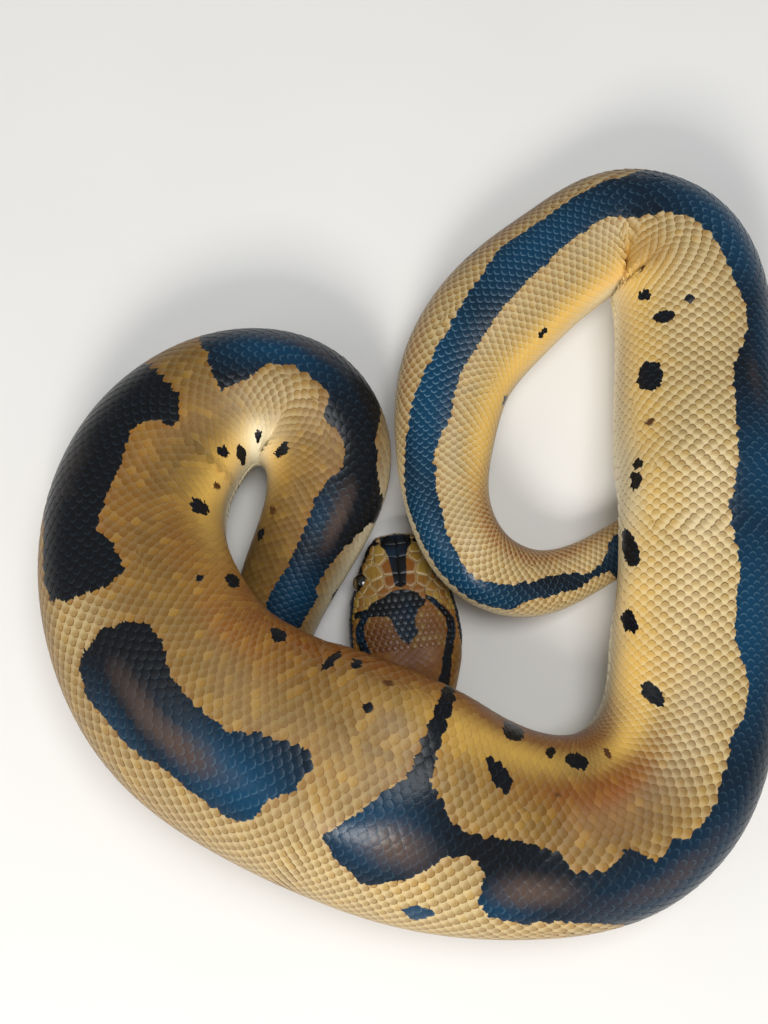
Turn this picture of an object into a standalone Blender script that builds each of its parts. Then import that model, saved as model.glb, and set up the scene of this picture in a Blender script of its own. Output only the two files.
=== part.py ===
"""A coiled ball python at rest, life size, as closed solids: head, jaw, eyes, neck, trunk lengths and tail.

One route runs from the snout to the tail tip. Every length of the body is a loft of upright sections along it.
All sizes are millimetres until a solid is made. The floor is z = 0.
"""

import bmesh
import bpy
import numpy as np

MM = 0.001
GAP = 0.3

# The route of the body over the floor: name, x, y, body width, lift of the belly.
ROUTE = (
    ("snout", 2.9, -3.5, 10.0, 0.0),
    ("brow", 4.5, -18.5, 26.0, 0.0),
    ("jaw", 6.4, -36.0, 31.0, 0.0),
    ("nape", 7.2, -49.5, 23.5, 0.0),
    ("neck_down", 2.5, -63.0, 22.0, 0.0),
    ("neck_turn", -10.5, -69.5, 21.5, 0.0),
    ("neck_up", -26.5, -58.5, 21.5, 0.0),
    ("neck_out", -32.0, -39.0, 22.0, 0.0),
    ("rise_low", -27.5, -20.0, 26.5, 0.0),
    ("rise_mid", -18.5, 0.5, 31.5, 0.0),
    ("rise_top", -16.0, 16.0, 36.5, 0.0),
    ("arch_in", -23.5, 30.0, 38.5, 0.0),
    ("arch_top", -39.5, 33.5, 39.0, 0.0),
    ("arch_out", -58.0, 21.5, 44.5, 0.0),
    ("left", -68.0, -3.5, 50.5, 0.0),
    ("left_low", -62.5, -31.5, 56.5, 0.0),
    ("corner", -49.5, -51.0, 59.5, 0.0),
    ("base_a", -30.5, -63.5, 61.5, 0.0),
    ("base_b", -7.5, -73.0, 63.5, 0.0),
    ("base_c", 17.0, -82.0, 60.5, 0.0),
    ("base_d", 41.0, -86.5, 53.5, 0.0),
    ("turn_a", 60.5, -83.5, 51.0, 0.0),
    ("turn_b", 74.0, -73.0, 49.0, 0.0),
    ("right_a", 81.5, -57.5, 46.5, 0.0),
    ("right_b", 84.5, -36.0, 46.5, 0.0),
    ("right_c", 86.5, -7.0, 47.0, 0.0),
    ("right_d", 87.5, 27.0, 46.5, 0.0),
    ("right_e", 87.5, 56.0, 44.0, 0.0),
    ("hook_a", 81.0, 76.5, 41.0, 0.0),
    ("hook_b", 69.0, 83.0, 36.0, 0.0),
    ("hook_c", 52.0, 75.5, 34.0, 0.0),
    ("fall_a", 33.5, 59.5, 35.5, 0.0),
    ("fall_b", 21.5, 42.5, 33.0, 1.5),
    ("fall_c", 17.0, 22.0, 28.5, 5.0),
    ("fall_d", 18.0, 1.0, 23.5, 9.0),
    ("curl_a", 26.5, -14.0, 22.0, 9.5),
    ("curl_b", 40.5, -18.5, 19.5, 4.0),
    ("curl_c", 57.0, -13.5, 15.5, 0.5),
    ("vent", 73.0, -4.5, 15.0, 0.0),
    ("tail_a", 93.0, 3.0, 13.5, 0.0),
    ("tail_b", 114.5, 2.0, 10.0, 0.0),
    ("tail_c", 130.0, -8.5, 6.0, 0.0),
    ("tip", 135.5, -22.0, 2.4, 0.0),
)
# The route is moved so that the middle of its outline is the origin.
SHIFT_X = -21.4
SHIFT_Y = 6.2

# Section of the body: how tall it stands for its width, and how square it is above and below.
TALL_SHARE = 0.93
TALL_FALL = 0.0022
SIDE_POWER = 2.25
CROWN_POWER = 2.1
BELLY_POWER = 2.7
FLAT_SHARE = 0.045
SIDES = 24
INNER_LIMIT = 0.93

# A length that lies over another: its belly follows the one below closely, and its back rises less and wider.
DRAPE_GAP = 0.5
DRAPE_CORE = 0.92
BELLY_RAMP = 15.0
BACK_RAMP = 38.0
BACK_SHARE = 0.45
UNDER_MARGIN = 3.0

SHARP_ANGLE = 0.8
RING_STEP = 7.0
RING_TURN = 0.2
FINE_STEP = 0.5

# The head, by distance back from the snout: half width, crown height, chin height, mouth height.
HEAD = (
    (0.0, 2.8, 6.6, 3.0, 4.7),
    (0.5, 4.8, 8.0, 1.9, 4.6),
    (1.6, 6.5, 9.0, 1.1, 4.5),
    (4.0, 8.4, 10.2, 0.4, 4.3),
    (8.0, 10.6, 11.8, 0.0, 4.1),
    (13.0, 12.9, 13.6, 0.0, 4.0),
    (18.0, 14.6, 15.0, 0.0, 4.2),
    (24.0, 15.6, 16.2, 0.0, 4.8),
    (31.0, 15.8, 17.0, 0.0, 5.6),
    (37.0, 15.0, 17.4, 0.0, 6.0),
    (42.0, 13.6, 17.8, 0.0, 6.0),
    (49.0, 12.0, 18.6, 0.0, 6.0),
)
HEAD_LENGTH = 46.0
HEAD_STEP = 2.4
HEAD_SIDES = 28
HEAD_POWER = 2.5
SNOUT_PLACES = (0.0, 0.5, 1.1, 1.8, 2.9)
MOUTH_CORNER = 29.0
JAW_START = 0.7
CORNER_STEP = 0.35
EYE_RADIUS = 2.9
EYE_BACK = 14.0
EYE_OUT = 10.4
EYE_HEIGHT = 8.8
NOSTRIL_RADIUS = 0.55
NOSTRIL_BACK = 2.8
NOSTRIL_OUT = 6.2
NOSTRIL_HEIGHT = 8.0

LENGTHS = (
    ("neck", None, "rise_low"),
    ("trunk_1", "rise_low", "arch_top"),
    ("trunk_2", "arch_top", "left_low"),
    ("trunk_3", "left_low", "base_b"),
    ("trunk_4", "base_b", "turn_a"),
    ("trunk_5", "turn_a", "right_b"),
    ("trunk_6", "right_b", "right_e"),
    ("trunk_7", "right_e", "fall_a"),
    ("trunk_8", "fall_a", "curl_a"),
    ("trunk_9", "curl_a", "vent"),
    ("tail", "vent", None),
)

MATERIALS = {
    "body_skin": ((0.46, 0.33, 0.12, 1.0), 0.45),
    "head_skin": ((0.16, 0.09, 0.04, 1.0), 0.45),
    "jaw_skin": ((0.62, 0.5, 0.32, 1.0), 0.5),
    "eye": ((0.01, 0.008, 0.006, 1.0), 0.12),
}


def clear_scene():
    for obj in list(bpy.data.objects):
        bpy.data.objects.remove(obj, do_unlink=True)


def new_collection(name):
    group = bpy.data.collections.new(name)
    bpy.context.scene.collection.children.link(group)
    return group


def make_materials():
    made = {}
    for name, (colour, roughness) in MATERIALS.items():
        material = bpy.data.materials.new(name)
        material.use_nodes = True
        shader = material.node_tree.nodes["Principled BSDF"]
        shader.inputs["Base Color"].default_value = colour
        shader.inputs["Roughness"].default_value = roughness
        shader.inputs["Metallic"].default_value = 0.0
        made[name] = material
    return made


def smooth(value):
    value = np.clip(value, 0.0, 1.0)
    return value * value * (3.0 - 2.0 * value)


def signed_power(value, power):
    return np.sign(value) * np.abs(value) ** power


def natural_spline(knots, values, at):
    """The natural cubic spline through the rows of values at the knots, read at the given places."""
    count = len(knots)
    span = np.diff(knots)
    matrix = np.eye(count)
    right = np.zeros_like(values)
    for i in range(1, count - 1):
        matrix[i, i - 1 : i + 2] = span[i - 1], 2 * (span[i - 1] + span[i]), span[i]
        rise_after = (values[i + 1] - values[i]) / span[i]
        rise_before = (values[i] - values[i - 1]) / span[i - 1]
        right[i] = 6 * (rise_after - rise_before)
    bend = np.linalg.solve(matrix, right)
    k = np.clip(np.searchsorted(knots, at, side="right") - 1, 0, count - 2)
    width = span[k][:, None]
    before = (knots[k + 1] - at)[:, None]
    after = (at - knots[k])[:, None]
    cubic = (bend[k] * before**3 + bend[k + 1] * after**3) / (6 * width)
    left = (values[k] / width - bend[k] * width / 6) * before
    return cubic + left + (values[k + 1] / width - bend[k + 1] * width / 6) * after


class Route:
    """The middle line of the body with its width, height and lift at every half millimetre."""

    def __init__(self):
        table = np.array([row[1:] for row in ROUTE], float)
        table[:, :2] += SHIFT_X, SHIFT_Y
        chord = np.r_[0, np.cumsum(np.hypot(*np.diff(table[:, :2], axis=0).T))]
        dense = np.linspace(0, chord[-1], 8001)
        line = natural_spline(chord, table, dense)
        arc = np.r_[0, np.cumsum(np.hypot(*np.diff(line[:, :2], axis=0).T))]
        self.length = arc[-1]
        self.s = np.linspace(0, self.length, int(self.length / FINE_STEP) + 1)
        self.values = np.stack([np.interp(self.s, arc, column) for column in line.T], axis=1)
        self.stations = dict(zip([row[0] for row in ROUTE], np.interp(chord, dense, arc)))
        step = np.gradient(self.values[:, :2], self.s, axis=0)
        self.heading = np.unwrap(np.arctan2(step[:, 1], step[:, 0]))
        self.bend = np.gradient(self.heading, self.s)

    def at(self, places):
        """Columns x, y, width, height, lift, heading and bend at each place along the route."""
        x, y, width, lift = [np.interp(places, self.s, column) for column in self.values.T]
        lift = np.maximum(lift, 0.0)
        height = width * (TALL_SHARE - TALL_FALL * width)
        heading = np.interp(places, self.s, self.heading)
        return x, y, width, height, lift, heading, np.interp(places, self.s, self.bend)

    def places(self, start, end, step):
        """Places from start to end, a step apart on a straight and closer where the route turns."""
        inside = self.s[(self.s > start) & (self.s < end)]
        fine = np.r_[start, inside, end]
        bend = np.abs(np.interp(fine, self.s, self.bend))
        density = np.maximum(1 / step, bend / RING_TURN)
        total = np.r_[0, np.cumsum(np.diff(fine) * (density[1:] + density[:-1]) / 2)]
        count = max(2, int(np.ceil(total[-1])) + 1)
        return np.interp(np.linspace(0, total[-1], count), total, fine)


def unit_section(sides):
    """Side offset from -1 to 1 and height from 0 to 1 of one section, from the crown towards the right."""
    angle = np.linspace(0, 2 * np.pi, sides, endpoint=False)
    side = signed_power(np.sin(angle), 2 / SIDE_POWER)
    power = np.where(np.cos(angle) > 0, 2 / CROWN_POWER, 2 / BELLY_POWER)
    height = 0.5 + 0.5 * signed_power(np.cos(angle), power)
    height = (np.maximum(height, FLAT_SHARE) - FLAT_SHARE) / (1 - FLAT_SHARE)
    return side, height


def place_section(x, y, heading, side, height):
    """Points of an upright section across the heading: side is positive to the right."""
    return np.stack(
        [
            x[:, None] + np.sin(heading)[:, None] * side,
            y[:, None] - np.cos(heading)[:, None] * side,
            height,
        ],
        axis=-1,
    )


def body_rings(route, places):
    x, y, width, height, lift, heading, bend = route.at(places)
    side, level = unit_section(SIDES)
    half = np.repeat(width[:, None] / 2, SIDES, axis=1)
    limit = INNER_LIMIT / np.maximum(np.abs(bend), 1e-6)
    inside = (side[None, :] < 0) == (bend[:, None] > 0)
    half = np.where(inside, np.minimum(half, limit[:, None]), half)
    return place_section(x, y, heading, half * side, height[:, None] * level)


def raised_by(points, route, start, end, ramp):
    """How high the length from start to end lifts whatever lies over each point, fading out over the ramp."""
    places = np.arange(start, end, 2.0)
    x, y, width, height, lift, _, _ = route.at(places)
    away = np.hypot(points[..., 0, None] - x, points[..., 1, None] - y)
    fade = 1 - smooth((away - width / 2 * DRAPE_CORE) / ramp)
    return ((height + lift + DRAPE_GAP) * fade).max(axis=-1)


def draped_rings(route, places):
    """Sections of the body, raised where they lie over the neck, the back of the head and the tail."""
    rings = body_rings(route, places)
    level = rings[..., 2] / route.at(places)[3][:, None]
    mark = route.stations
    crossings = (
        ("arch_out", "right_c", mark["jaw"], mark["rise_low"] - UNDER_MARGIN),
        ("turn_a", "hook_b", mark["curl_c"] - 2 * UNDER_MARGIN, route.length),
    )
    for first, last, start, end in crossings:
        over = (places > mark[first]) & (places < mark[last])
        belly = raised_by(rings, route, start, end, BELLY_RAMP)
        back = raised_by(rings, route, start, end, BACK_RAMP) * BACK_SHARE
        rings[..., 2] += (belly * (1 - level) + back * level) * over[:, None]
    rings[..., 2] += route.at(places)[4][:, None]
    return rings


def head_profile(back):
    table = np.array(HEAD)
    return [np.interp(back, table[:, 0], column) for column in table.T[1:]]


def head_rings(route, places):
    """Sections of the head, flatter above than a circle and broad at the jaw."""
    half, crown, chin, _ = head_profile(places)
    angle = np.linspace(0, 2 * np.pi, HEAD_SIDES, endpoint=False)
    side = signed_power(np.sin(angle), 2 / HEAD_POWER)
    level = 0.5 + 0.5 * signed_power(np.cos(angle), 2 / HEAD_POWER)
    x, y, _, _, _, heading, _ = route.at(places)
    height = chin[:, None] + (crown - chin)[:, None] * level
    return place_section(x, y, heading, half[:, None] * side, height)


def split_rings(rings, places, upper):
    """The part of the head above or below the mouth, with half the gap left at the mouth line."""
    mouth = head_profile(places)[3][:, None]
    inside = (places <= MOUTH_CORNER)[:, None]
    rings = rings.copy()
    if upper:
        rings[..., 2] = np.where(inside, np.maximum(rings[..., 2], mouth + GAP / 2), rings[..., 2])
    else:
        rings[..., 2] = np.minimum(rings[..., 2], mouth - GAP / 2)
    return rings


def solid(name, rings, material, collection):
    """One closed body through the rings, with a flat face at each end."""
    shape = bmesh.new()
    rows = [[shape.verts.new(point * MM) for point in ring] for ring in rings]
    count = len(rows[0])
    for row, after in zip(rows, rows[1:]):
        for i in range(count):
            j = (i + 1) % count
            shape.faces.new((row[i], row[j], after[j], after[i]))
    shape.faces.new(rows[0][::-1])
    shape.faces.new(rows[-1])
    bmesh.ops.recalc_face_normals(shape, faces=shape.faces)
    mesh = bpy.data.meshes.new(name)
    shape.to_mesh(mesh)
    shape.free()
    mesh.shade_smooth()
    mesh.set_sharp_from_angle(angle=SHARP_ANGLE)
    mesh.materials.append(material)
    obj = bpy.data.objects.new(name, mesh)
    collection.objects.link(obj)
    return obj


def ball(name, centre, radius, material, collection, segments=16, rows=10):
    shape = bmesh.new()
    bmesh.ops.create_uvsphere(shape, u_segments=segments, v_segments=rows, radius=radius * MM)
    mesh = bpy.data.meshes.new(name)
    shape.to_mesh(mesh)
    shape.free()
    mesh.shade_smooth()
    if material:
        mesh.materials.append(material)
    obj = bpy.data.objects.new(name, mesh)
    obj.location = centre * MM
    collection.objects.link(obj)
    return obj


def cut(obj, cutter):
    cutter.hide_render = True
    cutter.display_type = "WIRE"
    modifier = obj.modifiers.new("cut_" + cutter.name, "BOOLEAN")
    modifier.operation = "DIFFERENCE"
    modifier.solver = "EXACT"
    modifier.object = cutter


def head_point(route, back, out, height):
    """A point of the head by distance back from the snout, out to the right, and height."""
    x, y, _, _, _, heading, _ = route.at(np.array([back]))
    return place_section(x, y, heading, np.array([[out]]), np.array([[height]]))[0, 0]


def make_head(route, materials, parts, cutters):
    corner = MOUTH_CORNER + CORNER_STEP
    front = np.r_[SNOUT_PLACES, np.arange(4.5, MOUTH_CORNER - 1, HEAD_STEP), MOUTH_CORNER]
    back = np.r_[corner, np.arange(corner + HEAD_STEP, HEAD_LENGTH - 1.0, HEAD_STEP), HEAD_LENGTH - GAP / 2]
    places = np.r_[front, back]
    rings = split_rings(head_rings(route, places), places, upper=True)
    head = solid("head", rings, materials["head_skin"], parts)
    places = front[(front > JAW_START) & (front < MOUTH_CORNER - 1)]
    places = np.r_[places, MOUTH_CORNER - GAP]
    rings = split_rings(head_rings(route, places), places, upper=False)
    solid("lower_jaw", rings, materials["jaw_skin"], parts)
    for name, side in (("right", -1), ("left", 1)):
        centre = head_point(route, EYE_BACK, side * EYE_OUT, EYE_HEIGHT)
        ball("eye_" + name, centre, EYE_RADIUS, materials["eye"], parts)
        cut(head, ball("socket_" + name, centre, EYE_RADIUS + GAP, None, cutters))
        hole = head_point(route, NOSTRIL_BACK, side * NOSTRIL_OUT, NOSTRIL_HEIGHT)
        cut(head, ball("nostril_" + name, hole, NOSTRIL_RADIUS, None, cutters, 8, 6))


def make_body(route, materials, parts):
    for name, first, last in LENGTHS:
        start = route.stations[first] if first else HEAD_LENGTH
        end = route.stations[last] - GAP / 2 if last else route.length
        places = route.places(start + GAP / 2, end, RING_STEP)
        solid(name, draped_rings(route, places), materials["body_skin"], parts)


def main():
    clear_scene()
    parts = new_collection("ball_python")
    cutters = new_collection("cutters")
    materials = make_materials()
    route = Route()
    make_head(route, materials, parts, cutters)
    make_body(route, materials, parts)


main()
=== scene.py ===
"""Looks of a coiled ball python: one skin, overlapping scales, belly scutes, head plates and two eyes.

Lengths are millimetres until a mesh is made. A place on the body is its distance back from the snout and its
share of the girth, from -0.5 to 0.5, counted from the top towards the right of a walk from snout to tail.
"""

import logging
import math
from dataclasses import dataclass, field, replace
from enum import Enum
from typing import Any, Callable, Iterable, Sequence

import bpy
import numpy as np
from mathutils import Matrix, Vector


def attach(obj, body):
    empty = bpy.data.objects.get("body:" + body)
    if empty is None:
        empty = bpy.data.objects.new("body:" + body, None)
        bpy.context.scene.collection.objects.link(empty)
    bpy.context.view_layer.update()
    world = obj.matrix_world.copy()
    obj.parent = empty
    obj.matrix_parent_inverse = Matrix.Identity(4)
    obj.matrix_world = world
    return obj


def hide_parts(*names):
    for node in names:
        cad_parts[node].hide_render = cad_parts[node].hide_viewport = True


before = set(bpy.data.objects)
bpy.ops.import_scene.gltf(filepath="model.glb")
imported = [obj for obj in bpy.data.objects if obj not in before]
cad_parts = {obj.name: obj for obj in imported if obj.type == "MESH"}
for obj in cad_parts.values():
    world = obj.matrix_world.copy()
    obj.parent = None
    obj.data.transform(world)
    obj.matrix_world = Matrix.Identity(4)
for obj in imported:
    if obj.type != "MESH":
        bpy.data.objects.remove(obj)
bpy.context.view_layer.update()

MM = 0.001
BODY = "root"
LOG = logging.getLogger("python")
Array = np.ndarray
Colour = tuple[float, float, float]
Place = tuple[float, float, float]
Knots = tuple[tuple[float, float], ...]
Faces = list[tuple[int, ...]]
NAPE_END = 54.0
TINY = 1e-6

# The route of the body over the floor: name, x, y, body width, lift of the belly.
ROUTE = (
    ("snout", 2.9, -3.5, 10.0, 0.0),
    ("brow", 4.5, -18.5, 26.0, 0.0),
    ("jaw", 6.4, -36.0, 31.0, 0.0),
    ("nape", 7.2, -49.5, 23.5, 0.0),
    ("neck_down", 2.5, -63.0, 22.0, 0.0),
    ("neck_turn", -10.5, -69.5, 21.5, 0.0),
    ("neck_up", -26.5, -58.5, 21.5, 0.0),
    ("neck_out", -32.0, -39.0, 22.0, 0.0),
    ("rise_low", -27.5, -20.0, 26.5, 0.0),
    ("rise_mid", -18.5, 0.5, 31.5, 0.0),
    ("rise_top", -16.0, 16.0, 36.5, 0.0),
    ("arch_in", -23.5, 30.0, 38.5, 0.0),
    ("arch_top", -39.5, 33.5, 39.0, 0.0),
    ("arch_out", -58.0, 21.5, 44.5, 0.0),
    ("left", -68.0, -3.5, 50.5, 0.0),
    ("left_low", -62.5, -31.5, 56.5, 0.0),
    ("corner", -49.5, -51.0, 59.5, 0.0),
    ("base_a", -30.5, -63.5, 61.5, 0.0),
    ("base_b", -7.5, -73.0, 63.5, 0.0),
    ("base_c", 17.0, -82.0, 60.5, 0.0),
    ("base_d", 41.0, -86.5, 53.5, 0.0),
    ("turn_a", 60.5, -83.5, 51.0, 0.0),
    ("turn_b", 74.0, -73.0, 49.0, 0.0),
    ("right_a", 81.5, -57.5, 46.5, 0.0),
    ("right_b", 84.5, -36.0, 46.5, 0.0),
    ("right_c", 86.5, -7.0, 47.0, 0.0),
    ("right_d", 87.5, 27.0, 46.5, 0.0),
    ("right_e", 87.5, 56.0, 44.0, 0.0),
    ("hook_a", 81.0, 76.5, 41.0, 0.0),
    ("hook_b", 69.0, 83.0, 36.0, 0.0),
    ("hook_c", 52.0, 75.5, 34.0, 0.0),
    ("fall_a", 33.5, 59.5, 35.5, 0.0),
    ("fall_b", 21.5, 42.5, 33.0, 1.5),
    ("fall_c", 17.0, 22.0, 28.5, 5.0),
    ("fall_d", 18.0, 1.0, 23.5, 9.0),
    ("curl_a", 26.5, -14.0, 22.0, 9.5),
    ("curl_b", 40.5, -18.5, 19.5, 4.0),
    ("curl_c", 57.0, -13.5, 15.5, 0.5),
    ("vent", 73.0, -4.5, 15.0, 0.0),
    ("tail_a", 93.0, 3.0, 13.5, 0.0),
    ("tail_b", 114.5, 2.0, 10.0, 0.0),
    ("tail_c", 130.0, -8.5, 6.0, 0.0),
    ("tip", 135.5, -22.0, 2.4, 0.0),
)

# The head, by distance back from the snout: half width, crown height, chin height, mouth height.
HEAD = (
    (0.0, 2.8, 6.6, 3.0, 4.7),
    (0.5, 4.8, 8.0, 1.9, 4.6),
    (1.6, 6.5, 9.0, 1.1, 4.5),
    (4.0, 8.4, 10.2, 0.4, 4.3),
    (8.0, 10.6, 11.8, 0.0, 4.1),
    (13.0, 12.9, 13.6, 0.0, 4.0),
    (18.0, 14.6, 15.0, 0.0, 4.2),
    (24.0, 15.6, 16.2, 0.0, 4.8),
    (31.0, 15.8, 17.0, 0.0, 5.6),
    (37.0, 15.0, 17.4, 0.0, 6.0),
    (42.0, 13.6, 17.8, 0.0, 6.0),
    (49.0, 12.0, 18.6, 0.0, 6.0),
)

# How far round from the top the middle of the back lies, along the body.
BACK_LINE: Knots = (
    (0, 0.0), (60, 0.0), (125, 0.03), (150, 0.055), (178, 0.09), (200, 0.11), (240, 0.1), (265, 0.085),
    (290, 0.06), (340, 0.05), (385, 0.06), (425, 0.09), (470, 0.11), (580, 0.115), (602, 0.07),
    (620, 0.045), (665, 0.025), (690, 0.04), (712, 0.09), (738, 0.1), (755, 0.05), (775, 0.02),
    (864, 0.0),
)  # fmt: skip


class Node(Enum):
    """The solids of flesh that the one skin stands for."""

    HEAD = "head"
    JAW = "lower_jaw"
    NECK = "neck"
    TRUNK_1 = "trunk_1"
    TRUNK_2 = "trunk_2"
    TRUNK_3 = "trunk_3"
    TRUNK_4 = "trunk_4"
    TRUNK_5 = "trunk_5"
    TRUNK_6 = "trunk_6"
    TRUNK_7 = "trunk_7"
    TRUNK_8 = "trunk_8"
    TRUNK_9 = "trunk_9"
    TAIL = "tail"


class Slot(Enum):
    """The record's material slots."""

    BODY = "body_skin"
    HEAD = "head_skin"
    EYE = "eye"


class Side(Enum):
    """A side of the animal, as the sign of a share of the girth."""

    RIGHT = -1
    LEFT = 1


def smooth(value: Array | float) -> Array:
    """A soft step from 0 to 1."""
    value = np.clip(value, 0.0, 1.0)
    return value * value * (3.0 - 2.0 * value)


def signed_power(value: Array, power: Array | float) -> Array:
    """The power of the size of a value, with its sign kept."""
    return np.sign(value) * np.abs(value) ** power


def read(knots: Knots, at: Array) -> Array:
    """The height of a broken line of knots at each place."""
    table = np.array(knots, float)
    return np.interp(at, table[:, 0], table[:, 1])


def wrapped(share: Array) -> Array:
    """A share of the girth brought between -0.5 and 0.5."""
    return (share + 0.5) % 1.0 - 0.5


def unit(vectors: Array) -> Array:
    """Vectors brought to length one."""
    return vectors / np.maximum(np.linalg.norm(vectors, axis=-1, keepdims=True), 1e-12)


def bell(value: Array, middle: float, reach: float) -> Array:
    """A soft hump, 1 at its middle."""
    return np.exp(-(((value - middle) / reach) ** 2))


def spans(knots: Knots, at: Array) -> Array:
    """Whether each place lies between the first and last knot."""
    return (at > knots[0][0]) & (at < knots[-1][0])


def natural_spline(knots: Array, values: Array, at: Array) -> Array:
    """The natural cubic spline through rows of values.

    Args:
        knots: Where each row of values stands, rising.
        values: One row for each knot.
        at: The places to read.

    Returns:
        One row of values for each place.
    """
    count = len(knots)
    span = np.diff(knots)
    matrix = np.eye(count)
    right = np.zeros_like(values)
    for i in range(1, count - 1):
        matrix[i, i - 1 : i + 2] = span[i - 1], 2 * (span[i - 1] + span[i]), span[i]
        rise_after = (values[i + 1] - values[i]) / span[i]
        rise_before = (values[i] - values[i - 1]) / span[i - 1]
        right[i] = 6 * (rise_after - rise_before)
    bend = np.linalg.solve(matrix, right)
    k = np.clip(np.searchsorted(knots, at, side="right") - 1, 0, count - 2)
    width = span[k][:, None]
    before = (knots[k + 1] - at)[:, None]
    after = (at - knots[k])[:, None]
    cubic = (bend[k] * before**3 + bend[k + 1] * after**3) / (6 * width)
    left = (values[k] / width - bend[k] * width / 6) * before
    return cubic + left + (values[k + 1] / width - bend[k + 1] * width / 6) * after


@dataclass
class BodyRoute:
    """The middle line of the body over the floor, with its width, height and lift."""

    shift_x: float = -21.4
    shift_y: float = 6.2
    step: float = 0.5
    tall_share: float = 0.93
    tall_fall: float = 0.0022
    samples: int = 8001
    unwrap_edge: float = 0.01
    length: float = field(init=False)
    marks: dict[str, float] = field(init=False)

    def __post_init__(self) -> None:
        """Runs the spline through the stations and measures it."""
        table = np.array([row[1:] for row in ROUTE], float)
        table[:, :2] += self.shift_x, self.shift_y
        chord = np.r_[0, np.cumsum(np.hypot(*np.diff(table[:, :2], axis=0).T))]
        dense = np.linspace(0, chord[-1], self.samples)
        line = natural_spline(chord, table, dense)
        arc = np.r_[0, np.cumsum(np.hypot(*np.diff(line[:, :2], axis=0).T))]
        self.length = float(arc[-1])
        self.s = np.linspace(0, self.length, int(self.length / self.step) + 1)
        self.values = np.stack([np.interp(self.s, arc, column) for column in line.T], axis=1)
        self.marks = dict(zip([row[0] for row in ROUTE], np.interp(chord, dense, arc)))
        step = np.gradient(self.values[:, :2], self.s, axis=0)
        self.heading = np.unwrap(np.arctan2(step[:, 1], step[:, 0]))
        self.bend = np.gradient(self.heading, self.s)

    def at(self, places: Array) -> tuple[Array, ...]:
        """Reads the route.

        Args:
            places: Distances back from the snout.

        Returns:
            Columns x, y, width, height, lift, heading and bend.
        """
        x, y, width, lift = [np.interp(places, self.s, column) for column in self.values.T]
        height = width * (self.tall_share - self.tall_fall * width)
        heading = np.interp(places, self.s, self.heading)
        bend = np.interp(places, self.s, self.bend)
        return x, y, width, height, np.maximum(lift, 0.0), heading, bend

    def unwrap(self, places: Array) -> Array:
        """Where each distance back lies along the unwrap, from 0 to 1."""
        return self.unwrap_edge + (1 - 2 * self.unwrap_edge) * places / self.length

    def side_of(self, back: Array, point: Array) -> Array:
        """How far points lie from the middle line, the animal's right side being positive.

        Args:
            back: Distances back from the snout.
            point: The points.

        Returns:
            The distances out.
        """
        x, y, _, _, _, heading, _ = self.at(back)
        return -(np.sin(heading) * (point[:, 0] - x) - np.cos(heading) * (point[:, 1] - y))


@dataclass(frozen=True)
class Hollow:
    """A round hollow in the side of the head, deep as far as its core and fading out over its rim."""

    back: float
    high: float
    core: float
    rim: float
    depth: float
    stretch: float = 1.0
    least_share: float = 0.12

    def at(self, back: Array, high: Array, share: Array) -> Array:
        """How deep the hollow is.

        Args:
            back: Distances back from the snout.
            high: Heights.
            share: Shares of the girth.

        Returns:
            The depth at each point.
        """
        away = np.hypot((back - self.back) / self.stretch, high - self.high)
        return (np.abs(share) > self.least_share) * self.depth * (1 - smooth((away - self.core) / self.rim))


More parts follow.
